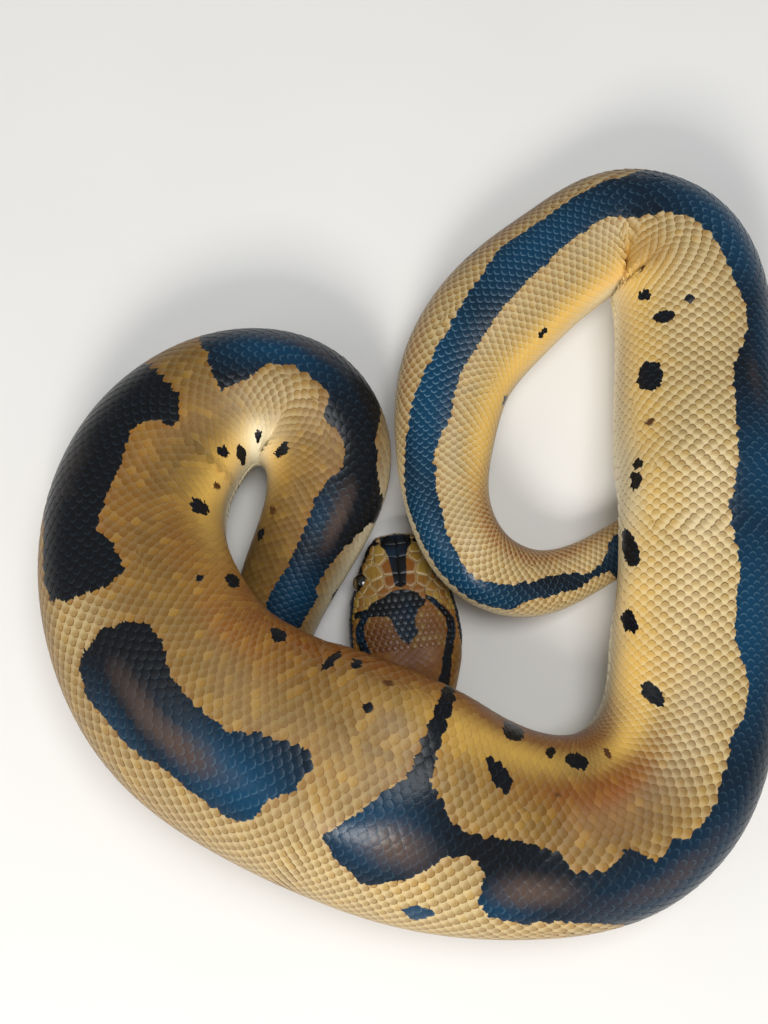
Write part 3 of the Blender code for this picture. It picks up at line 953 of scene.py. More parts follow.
    def head_dark(self, back: Array, share: Array, point: Array) -> Array:
        """Whether each place of the head and nape is dark.

        Args:
            back: Distances back from the snout.
            share: Shares of the girth.
            point: The points.

        Returns:
            True where it is.
        """
        side = self.flesh.route.side_of(back, point)
        high = point[:, 2]
        top = np.abs(share) < self.top_share
        stripe = top & (np.abs(side) < read(SNOUT_STRIPE, back)) & spans(SNOUT_STRIPE, back)
        crown = top & (side > read(CROWN_LEFT, back)) & (side < read(CROWN_RIGHT, back))
        crown &= spans(CROWN_LEFT, back)
        lateral = np.abs(np.abs(side) - read(SIDE_STRIPE, back)) < read(SIDE_STRIPE_HALF, back)
        lateral &= top & spans(SIDE_STRIPE, back)
        band = np.abs(high - read(EYE_BAND, back)) < read(EYE_BAND_HALF, back)
        band &= (np.abs(share) > self.band_share) & spans(EYE_BAND, back)
        return stripe | crown | lateral | band


def operator(operation: str, reflected: bool = False) -> Callable[["Wire", Any], "Wire"]:
    """A method of Wire that adds one Math node.

    Args:
        operation: The node's operation.
        reflected: Whether the wire is the second of the two values.

    Returns:
        The method.
    """

    def method(wire: "Wire", other: Any) -> "Wire":
        """The operation on this and the other."""
        values = (other, wire) if reflected else (wire, other)
        return wire._math(operation, *values)

    return method


class Wire:
    """A shader socket that Python's operators act on, each adding one Math node."""

    def __init__(self, bench: "Bench", socket: bpy.types.NodeSocket) -> None:
        """Holds a socket of a tree."""
        self.bench = bench
        self.socket = socket

    def _math(self, operation: str, *values: Any) -> "Wire":
        """One Math node on the values."""
        node = self.bench.node("ShaderNodeMath", {"operation": operation}, dict(enumerate(values)))
        return Wire(self.bench, node.outputs[0])

    __add__ = operator("ADD")
    __radd__ = operator("ADD", True)
    __sub__ = operator("SUBTRACT")
    __rsub__ = operator("SUBTRACT", True)
    __mul__ = operator("MULTIPLY")
    __rmul__ = operator("MULTIPLY", True)
    __pow__ = operator("POWER")
    __rpow__ = operator("POWER", True)
    most = operator("MAXIMUM")

    def __abs__(self) -> "Wire":
        """The size of this."""
        return self._math("ABSOLUTE", self)

    def clamped(self) -> "Wire":
        """This held between 0 and 1."""
        node = self.bench.node("ShaderNodeClamp", {}, {"Value": self, "Min": 0.0, "Max": 1.0})
        return Wire(self.bench, node.outputs[0])

    def step(self, low: float, high: float) -> "Wire":
        """A straight ramp from 0 at low to 1 at high."""
        return ((self - low) * (1.0 / (high - low))).clamped()


class Bench:
    """The node tree of one material."""

    def __init__(self, name: str) -> None:
        """Makes the material with its Principled shader.

        Args:
            name: The material's name.
        """
        self.material = bpy.data.materials.new(name)
        self.material.use_nodes = True
        self.tree = self.material.node_tree
        self.shader = self.tree.nodes["Principled BSDF"]

    def node(self, kind: str, settings: dict[str, Any], inputs: dict[int | str, Any]) -> bpy.types.Node:
        """Adds any node.

        Args:
            kind: The node's type.
            settings: Its settings, and "stops" for a ramp, set before the inputs.
            inputs: Values or wires by socket name or number.

        Returns:
            The node.
        """
        made = self.tree.nodes.new(kind)
        for name, value in settings.items():
            if name == "stops":
                self._stops(made.color_ramp, value)
            else:
                setattr(made, name, value)
        for name, value in inputs.items():
            self.plug(made.inputs[name], value)
        return made

    def _stops(self, ramp: bpy.types.ColorRamp, stops: Sequence[tuple[float, Colour]]) -> None:
        """Sets the stops of a ramp.

        Args:
            ramp: The ramp.
            stops: Positions with their colours.
        """
        while len(ramp.elements) > 1:
            ramp.elements.remove(ramp.elements[-1])
        ramp.elements[0].position = stops[0][0]
        ramp.elements[0].color = (*stops[0][1], 1.0)
        for place, colour in stops[1:]:
            ramp.elements.new(place).color = (*colour, 1.0)

    def plug(self, socket: bpy.types.NodeSocket, value: Any) -> None:
        """Links a wire to a socket, or sets its value.

        Args:
            socket: The socket.
            value: A wire, a number or a colour.
        """
        if isinstance(value, Wire):
            self.tree.links.new(value.socket, socket)
        elif isinstance(value, tuple) and len(value) == 3 and socket.type == "RGBA":
            socket.default_value = (*value, 1.0)
        else:
            socket.default_value = value

    def attribute(self, name: str) -> Wire:
        """A number kept on the mesh."""
        node = self.node("ShaderNodeAttribute", {"attribute_name": name}, {})
        return Wire(self, node.outputs["Fac"])

    def place(self) -> Wire:
        """The object's own coordinates."""
        node = self.node("ShaderNodeTexCoord", {}, {})
        return Wire(self, node.outputs["Object"])

    def noise(self, scale: float, detail: float = 2.0, rough: float = 0.5) -> Wire:
        """Noise from 0 to 1 over the object's coordinates, scale being per metre."""
        inputs = {"Vector": self.place(), "Scale": scale, "Detail": detail, "Roughness": rough}
        return Wire(self, self.node("ShaderNodeTexNoise", {}, inputs).outputs["Fac"])

    def mix(self, share: Any, first: Any, second: Any) -> Wire:
        """A colour between two, by the share of the second.

        Args:
            share: The share of the second colour.
            first: The first colour.
            second: The second colour.

        Returns:
            The mixed colour.
        """
        node = self.node("ShaderNodeMix", {"data_type": "RGBA"}, {})
        self.plug(node.inputs["Factor"], share)
        colours = [socket for socket in node.inputs if socket.type == "RGBA"]
        self.plug(colours[0], first)
        self.plug(colours[1], second)
        return Wire(self, next(socket for socket in node.outputs if socket.type == "RGBA"))

    def curve(self, value: Wire, knots: Knots, size: float) -> Wire:
        """Reads a broken line of knots, whose heights lie between -size and size.

        Args:
            value: Where to read.
            knots: The knots of the line.
            size: The greatest height either way.

        Returns:
            The height there.
        """
        low, high = knots[0][0], knots[-1][0]
        stops = [((at - low) / (high - low), (tall / size * 0.5 + 0.5,) * 3) for at, tall in knots]
        scaled = (value - low) * (1.0 / (high - low))
        node = self.node("ShaderNodeValToRGB", {"stops": stops}, {"Fac": scaled})
        return (Wire(self, node.outputs["Color"]) - 0.5) * (2.0 * size)

    def bump(self, height: Wire, distance: float, strength: float) -> Wire:
        """A normal from a height."""
        inputs = {"Height": height, "Distance": distance, "Strength": strength}
        return Wire(self, self.node("ShaderNodeBump", {}, inputs).outputs["Normal"])


@dataclass(frozen=True)
class SnakeTints:
    """The colours of the animal, as linear values, with painted glint and shade among them."""

    mustard: Colour = (0.130, 0.060, 0.007)
    beige: Colour = (0.35, 0.245, 0.10)
    gold: Colour = (0.84, 0.48, 0.055)
    rust: Colour = (0.22, 0.060, 0.003)
    cream: Colour = (0.80, 0.72, 0.50)
    black: Colour = (0.006, 0.006, 0.007)
    # blue of the dark scales: partly their own iridescence, partly painted reflection
    blue: Colour = (0.005, 0.042, 0.090)
    # painted highlight: the steel-blue glint on the free edges of dark scales
    painted_glint: Colour = (0.12, 0.22, 0.29)
    plum: Colour = (0.070, 0.046, 0.036)
    brown: Colour = (0.09, 0.035, 0.012)
    # dark arc of the scale's free edge: partly its own darker tip, partly painted shade
    arc: Colour = (0.12, 0.045, 0.007)
    line: Colour = (0.70, 0.57, 0.32)
    # painted highlight: the light dash at the tip of each scale
    light_speck: Colour = (0.42, 0.26, 0.085)


@dataclass(frozen=True)
class SkinFinish:
    """The finish of skin, scales and scutes."""

    name: str
    tints: SnakeTints = SnakeTints()
    roughness: float = 0.36
    base_pale: float = 0.6
    arc_strength: float = 0.8
    tip_highlight_strength: float = 0.5
    specular: float = 0.17

    def make(self, scales: bool) -> bpy.types.Material:
        """Makes the material.

        Args:
            scales: Whether the mesh is scales, which have an edge and a tip of their own.

        Returns:
            The material.
        """
        b = Bench(self.name)
        t = self.tints
        dark, sheen, brown = b.attribute("dark"), b.attribute("sheen"), b.attribute("brown")
        grain = b.noise(900.0, 3.0, 0.6)
        patchy = b.noise(70.0, 2.0) - 0.5
        cloudy = b.noise(150.0, 3.0, 0.6) - 0.5
        beige, gold, pale = b.attribute("beige"), b.attribute("gold"), b.attribute("pale")
        light = b.mix((beige + cloudy * 0.3).clamped(), t.mustard, t.beige)
        # Orange-brown, partly the skin's own colour and partly painted shade on the inner flanks.
        rust_tint_and_shade = b.attribute("rust") + patchy * 0.35 + cloudy * 0.45 - pale
        light = b.mix((gold + patchy * 0.35).clamped() * 0.9, light, t.gold)
        light = b.mix(rust_tint_and_shade.clamped() * 0.9, light, t.rust)
        light = b.mix(pale, light, t.cream)
        # Dark scales from black to blue: partly their own iridescent blue, partly painted reflection.
        deep = b.mix((sheen * 0.95 + (grain - 0.5) * 0.3).clamped(), t.black, t.blue)
        deep = b.mix((b.attribute("core") * 0.95 + patchy * 0.5).step(0.15, 0.9), deep, t.plum)
        if scales:
            tone, along, rim = b.attribute("tone"), b.attribute("along"), b.attribute("rim")
            light = b.mix((0.5 - tone).clamped() * 0.3, light, t.gold)
            free = (along - 0.16).step(0.0, 0.2)
            flank = (rim - 0.66).step(0.0, 0.25) * (1 - free) * 0.8
            base = (0.2 - along).step(0.0, 0.35).most(flank)
            light = b.mix((base * beige).most(gold * 0.3) * self.base_pale, light, t.line)
            # Dark arc at the free edge of each scale: partly the scale's own darker tip, partly painted shade
            # where it stands over the next scale.
            arc = free * (rim - 0.74).step(0.0, 0.2) * (beige * 0.6 + 0.4) * (1 - gold * 0.7)
            light = b.mix(arc * self.arc_strength, light, t.arc)
            # Painted highlight: a light dash inside the tip of each scale, mostly where the skin is mustard.
            light_speck = (along - 0.42).step(0.0, 0.25) * (0.78 - rim).step(0.0, 0.14) * (1 - beige * 0.7)
            light_speck = light_speck * (1 - b.attribute("rust") * 0.6)
            light = b.mix(light_speck * self.tip_highlight_strength, light, t.light_speck)
            # Painted highlight: a steel-blue glint along the free edge of each dark scale, stronger where the
            # blue sheen is and towards the tail.
            glint = (along - 0.18).step(0.0, 0.2) * (rim - 0.66).step(0.0, 0.25)
            shine = (sheen * 0.6 + 0.12 + patchy * 0.3).clamped() * b.attribute("glint")
            deep = b.mix(glint * shine, deep, t.painted_glint)
        else:
            light = b.mix(0.15, light, t.line)
        # Brown of the brown spots, and painted shade on the inner flanks.
        light = b.mix(brown, light, t.brown)
        b.plug(b.shader.inputs["Base Color"], b.mix(dark.step(0.4, 0.6), light, deep))
        rough = self.roughness + (grain - 0.5) * 0.14 - dark * 0.11
        b.plug(b.shader.inputs["Roughness"], rough)
        b.plug(b.shader.inputs["Normal"], b.bump(b.noise(2600.0, 3.0), 0.00012, 0.35))
        b.shader.inputs["Specular IOR Level"].default_value = self.specular
        return b.material


@dataclass(frozen=True)
class HeadFinish:
    """The finish of the head plates, whose stripes run across them."""

    name: str = "head_plates"
    tints: SnakeTints = SnakeTints()
    # Head tints kept darker than the head's own colours: part of it is painted shade, as the head lies low
    # between the coils.
    orange: Colour = (0.21, 0.062, 0.009)
    yellow: Colour = (0.33, 0.205, 0.040)
    lip: Colour = (0.46, 0.27, 0.11)
    nape: Colour = (0.085, 0.020, 0.003)
    chin: Colour = (0.70, 0.62, 0.48)
    # painted shade: the near-black inside the heat pits
    pit: Colour = (0.012, 0.008, 0.006)
    roughness: float = 0.34
    specular: float = 0.28

    def make(self) -> bpy.types.Material:
        """Makes the material.

        Returns:
            The material.
        """
        b = Bench(self.name)
        t = self.tints
        back, side, high = b.attribute("back"), b.attribute("side"), b.attribute("high")
        hue, lip, under = b.attribute("hue"), b.attribute("lip"), b.attribute("under")
        rim, pit, tone = b.attribute("rim"), b.attribute("pit"), b.attribute("tone")
        grain = b.noise(900.0, 3.0, 0.6)
        wobble = (b.noise(420.0, 2.0) - 0.5) * 1.1
        wide = abs(side)
        stripe = self._within(wide + wobble * 0.6, b.curve(back, SNOUT_STRIPE, 8.0))
        stripe = stripe * (17.0 - back).step(0.0, 0.4)
        left, right = b.curve(back, CROWN_LEFT, 16.0), b.curve(back, CROWN_RIGHT, 16.0)
        crown = ((side + wobble) - left).step(-0.15, 0.15) * (right - (side + wobble)).step(-0.15, 0.15)
        crown = crown * (back - 17.2).step(0.0, 0.3) * (33.2 - back).step(0.0, 0.3)
        middle = b.curve(back, SIDE_STRIPE, 16.0)
        lateral = self._within(abs(wide - middle) + wobble * 0.5, b.curve(back, SIDE_STRIPE_HALF, 8.0))
        lateral = lateral * (high - 9.6).step(0.0, 0.4)
        level = b.curve(back, EYE_BAND, 16.0)
        band = self._within(abs(high - level) + wobble * 0.5, b.curve(back, EYE_BAND_HALF, 8.0))
        band = band * (wide - 5.0).step(0.0, 0.4) * (1.0 - under)
        dark = stripe.most(crown).most(lateral).most(band)
        light = b.mix((hue + (grain - 0.5) * 0.25).clamped(), self.orange, self.yellow)
        light = b.mix((0.5 - tone).clamped() * 0.7, light, t.rust)
        # Darker behind the crown, more on the left: partly the nape's own rust brown, partly painted shade
        # from the coils around the head.
        behind = (back - 19.0).step(0.0, 10.0) * (0.9 - (side + 2.0).step(0.0, 4.0) * 0.3)
        light = b.mix(behind * (1.0 - (wide - middle).step(0.0, 1.0)), light, self.nape)
        light = b.mix(lip, light, self.lip)
        light = b.mix(under, light, self.chin)
        seam = (rim - 0.72).step(0.0, 0.28) * (0.5 - (back - 17.0).step(0.0, 6.0) * 0.45)
        light = b.mix(seam, light, t.line)
        # The crown patch: black with blue, partly its own iridescence and partly painted reflection.
        deep = b.mix((b.noise(160.0, 2.0) - 0.42).step(0.0, 0.3) * 0.5, t.black, t.blue)
        colour = b.mix(dark, light, deep)
        # Painted shade: the heat pits' hollows painted near black.
        colour = b.mix(pit, colour, self.pit)
        b.plug(b.shader.inputs["Base Color"], colour)
        b.plug(b.shader.inputs["Roughness"], self.roughness + (grain - 0.5) * 0.16)
        b.plug(b.shader.inputs["Normal"], b.bump(b.noise(2200.0, 3.0), 0.00012, 0.35))
        b.shader.inputs["Specular IOR Level"].default_value = self.specular
        return b.material

    def _within(self, distance: Wire, half: Wire) -> Wire:
        """A mask of what is closer than the half width."""
        return (half - distance).step(-0.12, 0.12)


@dataclass(frozen=True)
class EyeFinish:
    """The finish of an eye: a dark iris, lighter above, with an upright slit."""

    name: str = "eye_glass"
    iris: Colour = (0.075, 0.045, 0.020)
    iris_top: Colour = (0.20, 0.14, 0.07)
    pupil: Colour = (0.002, 0.002, 0.002)

    def make(self) -> bpy.types.Material:
        """Makes the material.

        Returns:
            The material.
        """
        b = Bench(self.name)
        along, up = b.attribute("eye_along"), b.attribute("eye_up")
        light_speck = b.noise(1500.0, 3.0, 0.65)
        iris = b.mix((up - 0.1 + (light_speck - 0.5) * 0.5).step(0.0, 0.35), self.iris, self.iris_top)
        iris = b.mix((light_speck - 0.5).step(0.0, 0.3) * 0.4, iris, self.iris_top)
        radius = (along * along + up * up) ** 0.5
        iris = b.mix((radius - 0.72).step(0.0, 0.12), iris, self.pupil)
        slit = (1.0 - (up * up) * 5.5).clamped() ** 0.5
        pupil = (slit * 0.13 - abs(along)).step(-0.015, 0.015)
        b.plug(b.shader.inputs["Base Color"], b.mix(pupil, iris, self.pupil))
        b.shader.inputs["Roughness"].default_value = 0.08
        b.shader.inputs["Coat Weight"].default_value = 1.0
        b.shader.inputs["Coat Roughness"].default_value = 0.03
        return b.material


@dataclass(frozen=True)
class FloorFinish:
    """A plain pale floor with a little mottle."""

    name: str = "pale_floor"
    light: Colour = (0.72, 0.70, 0.67)
    shade: Colour = (0.66, 0.64, 0.61)

    def make(self) -> bpy.types.Material:
        """Makes the material.

        Returns:
            The material.
        """
        b = Bench(self.name)
        b.plug(b.shader.inputs["Base Color"], b.mix(b.noise(9.0, 3.0), self.light, self.shade))
        b.shader.inputs["Roughness"].default_value = 0.75
        return b.material


def linked(name: str, data: Any) -> bpy.types.Object:
    """A new object in the scene.

    Args:
        name: Its name.
        data: Its mesh, light or camera.

    Returns:
        The object.
    """
    obj = bpy.data.objects.new(name, data)
    bpy.context.scene.collection.objects.link(obj)
    return obj


def ring_faces(rings: int, count: int, first: int = 0) -> Faces:
    """Four-sided faces between rings of points that follow each other.

    Args:
        rings: How many rings there are.
        count: How many points each has.
        first: The number of the first point.

    Returns:
        The faces.
    """
    faces = []
    for here in range(first, first + (rings - 1) * count, count):
        after = here + count
        for i in range(count):
            j = (i + 1) % count
            faces.append((here + i, after + i, after + j, here + j))
    return faces


def keep_numbers(mesh: bpy.types.Mesh, name: str, values: Any) -> None:
    """Keeps a number for each point of a mesh."""
    layer = mesh.attributes.new(name, "FLOAT", "POINT")
    layer.data.foreach_set("value", np.asarray(values, np.float32))


@dataclass
class MeshKit:
    """A mesh put together from points, faces and numbers kept on its points."""

    name: str
    points: list[Array] = field(default_factory=list)
    faces: Faces = field(default_factory=list)
    numbers: dict[str, list[Array]] = field(default_factory=dict)
    bake: list[Array] = field(default_factory=list)
    count: int = 0

    def add(self, points: Array, faces: Iterable[Sequence[int]], bake: Array, **numbers: Any) -> None:
        """Adds a closed shell.

        Args:
            points: Its points, in millimetres.
            faces: Its faces, by its own point numbers.
            bake: Two numbers for each point, its place on the unwrap.
            numbers: A number, or one for each point, by name.
        """
        self.points.append(points)
        self.bake.append(bake)
        first = self.count
        self.faces.extend(tuple(first + i for i in face) for face in faces)
        for name, value in numbers.items():
            self.numbers.setdefault(name, []).append(np.broadcast_to(np.asarray(value, float), len(points)))
        self.count += len(points)

    def build(self, material: bpy.types.Material) -> bpy.types.Object:
        """Makes the object, with its numbers as attributes and its unwrap as OFBake.

        Args:
            material: Its material.

        Returns:
            The object.
        """
        mesh = bpy.data.meshes.new(self.name)
        points = np.concatenate(self.points) * MM
        mesh.from_pydata(points.tolist(), [], self.faces)
        mesh.validate()
        for name, parts in self.numbers.items():
            keep_numbers(mesh, name, np.concatenate(parts))
        corner = np.empty(len(mesh.loops), np.int32)
        mesh.loops.foreach_get("vertex_index", corner)
        layer = mesh.uv_layers.new(name="OFBake")
        layer.data.foreach_set("uv", np.concatenate(self.bake)[corner].astype(np.float32).ravel())
        mesh.shade_smooth()
        mesh.materials.append(material)
        return linked(self.name, mesh)


def finish_piece(obj: bpy.types.Object, nodes: Sequence[str] = ()) -> None:
    """Rides a piece on the body and the nodes that it stands for.

    Args:
        obj: The piece.
        nodes: The nodes that it replaces.
    """
    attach(obj, BODY)
    if nodes:
        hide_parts(*nodes)


@dataclass
class Skin:
    """One closed skin from the snout to the tip of the tail."""

    flesh: Flesh
    markings: Markings
    sides: int = 150
    head_step: float = 0.5
    body_step: float = 2.6
    turn_step: float = 0.05
    turn_share: float = 0.6
    head_end: float = 50.0
    tip_gap: float = 0.2

    def places(self) -> Array:
        """Where the rings stand: close on the head and in the turns.

        Returns:
            Distances back from the snout.
        """
        fine = self.flesh.places
        route = self.flesh.route
        bend = np.abs(route.at(fine)[6])
        step = np.where(fine < self.head_end, self.head_step, self.body_step)
        density = np.maximum(1 / step, bend / self.turn_step * self.turn_share)
        total = np.r_[0, np.cumsum(np.diff(fine) * (density[1:] + density[:-1]) / 2)]
        inner = np.interp(np.linspace(0, total[-1], int(total[-1]) + 1), total, fine)
        tips = self.flesh.tip_rings
        inner = inner[(inner > fine[tips - 1] + self.tip_gap) & (inner < fine[-tips] - self.tip_gap)]
        return np.r_[fine[1:tips:2], inner, fine[-tips:-1:2]]

    def build(self) -> bpy.types.Object:
        """Makes the skin and replaces the solids of flesh with it.

        Returns:
            The skin.
        """
        places = self.places()
        share = np.arange(self.sides) / self.sides
        s, q = np.meshgrid(places, share, indexing="ij")
        points = self.flesh.points(s.ravel(), q.ravel())
        count, sides = len(places), self.sides
        faces = ring_faces(count, sides)
        first = points[:sides].mean(axis=0)
        last = points[-sides:].mean(axis=0)
        poles = count * sides
        faces += [(poles, j, (j + 1) % sides) for j in range(sides)]
        base = (count - 1) * sides
        faces += [(poles + 1, base + (j + 1) % sides, base + j) for j in range(sides)]
        points = np.concatenate([points, first[None], last[None]])
        s_all = np.r_[s.ravel(), places[0], places[-1]]
        q_all = np.r_[q.ravel(), 0.0, 0.0]
        masks = self.markings.masks(s_all, q_all, points)
        u = self.flesh.route.unwrap(s_all)
        v = 0.02 + 0.96 * (wrapped(q_all) + 0.5)
        kit = MeshKit("skin")
        kit.add(points, faces, np.stack([u, v], axis=1), **masks)
        obj = kit.build(SkinFinish("skin_under_scales", roughness=0.45).make(False))
        finish_piece(obj, [node.value for node in Node])
        return obj


@dataclass
class ScaleShape:
    """One scale: a shallow domed shell with a free edge towards the tail."""

    sides: int = 10
    front: float = 0.54
    rear: float = 0.58
    half_width: float = 0.82
    power: float = 1.6
    low: float = 0.0
    high: float = 0.18
    dome: float = 0.12
    thick: float = 0.17
    inner_ring: float = 0.72

    def build(self) -> bpy.types.Object:
        """Makes the scale once, a pitch long and two rows wide, for the trees to repeat.

        Returns:
            The scale, which isn't in the scene itself.
        """
        turn = np.arange(self.sides) / self.sides * 2 * np.pi
        reach = np.where(np.cos(turn) > 0, self.rear, self.front)
        x = reach * signed_power(np.cos(turn), 2 / self.power)
        y = self.half_width * signed_power(np.sin(turn), 2 / self.power)
        rings = [(1.0, 1.0), (1.0, 0.0), (self.inner_ring, 0.0)]
        points, rim = [], []
        for size, drop in rings:
            z = self._height(x * size, size) - drop * self.thick
            points.append(np.stack([x * size, y * size, z], axis=1))
            rim += [size] * self.sides
        points.append(np.array([[0.0, 0.0, self._height(np.zeros(1), 0.0)[0]]]))
        rim.append(0.0)
        n = self.sides
        faces: Faces = [tuple(reversed(range(n)))]
        faces += [(a, d, c, b) for a, b, c, d in ring_faces(len(rings), n)]
        faces += [(2 * n + i, 2 * n + (i + 1) % n, 3 * n) for i in range(n)]
        mesh = bpy.data.meshes.new("one_scale")
        points_all = np.concatenate(points)
        mesh.from_pydata(points_all.tolist(), [], faces)
        numbers = {"along": points_all[:, 0], "over": points_all[:, 1], "rim": np.array(rim)}
        for name, values in numbers.items():
            keep_numbers(mesh, name, values)
        mesh.shade_smooth()
        ends = np.zeros(len(mesh.edges) * 2, np.int32)
        mesh.edges.foreach_get("vertices", ends)
        crisp = (ends.reshape(-1, 2) < 2 * n).all(axis=1)
        mesh.attributes.new("sharp_edge", "BOOLEAN", "EDGE").data.foreach_set("value", crisp)
        return bpy.data.objects.new("one_scale", mesh)

    def _height(self, x: Array, size: float) -> Array:
        """The height of the outer face: a slope that rises to the free edge, with a dome."""
        slope = (x + self.front) / (self.front + self.rear)
        return self.low + (self.high - self.low) * slope + self.dome * (1 - size**2)


@dataclass
class CoatTree:
    """The node tree that sets a scale on every root and joins them to one mesh."""

    name: str = "scale_coat"
    patch: float = 0.003

    def build(self) -> bpy.types.NodeTree:
        """Makes the tree, with the scale, its depth, patch size and material as inputs.

        Returns:
            The tree.
        """
        tree = bpy.data.node_groups.new(self.name, "GeometryNodeTree")
        sockets = (
            ("Geometry", "INPUT", "Geometry"), ("Scale", "INPUT", "Object"), ("Depth", "INPUT", "Float"),
            ("Patch", "INPUT", "Float"), ("Material", "INPUT", "Material"),
            ("Geometry", "OUTPUT", "Geometry"),
        )  # fmt: skip
        for name, way, kind in sockets:
            tree.interface.new_socket(name, in_out=way, socket_type="NodeSocket" + kind)
        kept = ("turn", "size", "root", "along", "over")
        kinds = {
            "NodeGroupInput": ("inlet",), "NodeGroupOutput": ("outlet",),
            "GeometryNodeObjectInfo": ("object",),
            "GeometryNodeInputNamedAttribute": kept, "ShaderNodeCombineXYZ": ("depth", "local"),
            "ShaderNodeVectorMath": ("sized", "patch", "spot"), "FunctionNodeEulerToRotation": ("turned",),
            "GeometryNodeInstanceOnPoints": ("set",), "GeometryNodeRealizeInstances": ("join",),
            "GeometryNodeStoreNamedAttribute": ("store",), "GeometryNodeSetMaterial": ("paint",),
        }  # fmt: skip
        made = {key: tree.nodes.new(kind) for kind, keys in kinds.items() for key in keys}
        settings = (
            ("turn", "data_type", "FLOAT_VECTOR"),
            ("size", "data_type", "FLOAT_VECTOR"),
            ("root", "data_type", "FLOAT_VECTOR"),
            ("along", "data_type", "FLOAT"),
            ("over", "data_type", "FLOAT"),
            ("sized", "operation", "MULTIPLY"),
            ("patch", "operation", "SCALE"),
            ("spot", "operation", "ADD"),
            ("store", "data_type", "FLOAT2"),
            ("store", "domain", "CORNER"),
        )
        for key, setting, value in settings:
            setattr(made[key], setting, value)
        for key in kept:
            made[key].inputs["Name"].default_value = key
        made["store"].inputs["Name"].default_value = "OFBake"
        made["depth"].inputs[0].default_value = 1.0
        made["depth"].inputs[1].default_value = 1.0
        links = (
            ("inlet", "Geometry", "set", "Points"),
            ("inlet", "Scale", "object", "Object"),
            ("object", "Geometry", "set", "Instance"),
            ("turn", "Attribute", "turned", "Euler"),
            ("turned", "Rotation", "set", "Rotation"),
            ("inlet", "Depth", "depth", "Z"),
            ("size", "Attribute", "sized", 0),
            ("depth", "Vector", "sized", 1),
            ("sized", "Vector", "set", "Scale"),
            ("set", "Instances", "join", "Geometry"),
            ("along", "Attribute", "local", "X"),
            ("over", "Attribute", "local", "Y"),
            ("local", "Vector", "patch", 0),
            ("inlet", "Patch", "patch", "Scale"),
            ("patch", "Vector", "spot", 0),
            ("root", "Attribute", "spot", 1),
            ("join", "Geometry", "store", "Geometry"),
            ("spot", "Vector", "store", "Value"),
            ("store", "Geometry", "paint", "Geometry"),
            ("inlet", "Material", "paint", "Material"),
            ("paint", "Geometry", "outlet", "Geometry"),
        )
        for start, out, end, into in links:
            tree.links.new(self._socket(made[start].outputs, out), self._socket(made[end].inputs, into))
        return tree

    def _socket(self, sockets: Any, name: str | int) -> bpy.types.NodeSocket:
        """The shown socket of that name or number.

        Args:
            sockets: A node's inputs or outputs.
            name: The socket's name, or its number among them.

        Returns:
            The socket.
        """
        if isinstance(name, int):
            return [socket for socket in sockets if socket.enabled][name]
        return next(socket for socket in sockets if socket.name == name and socket.enabled)


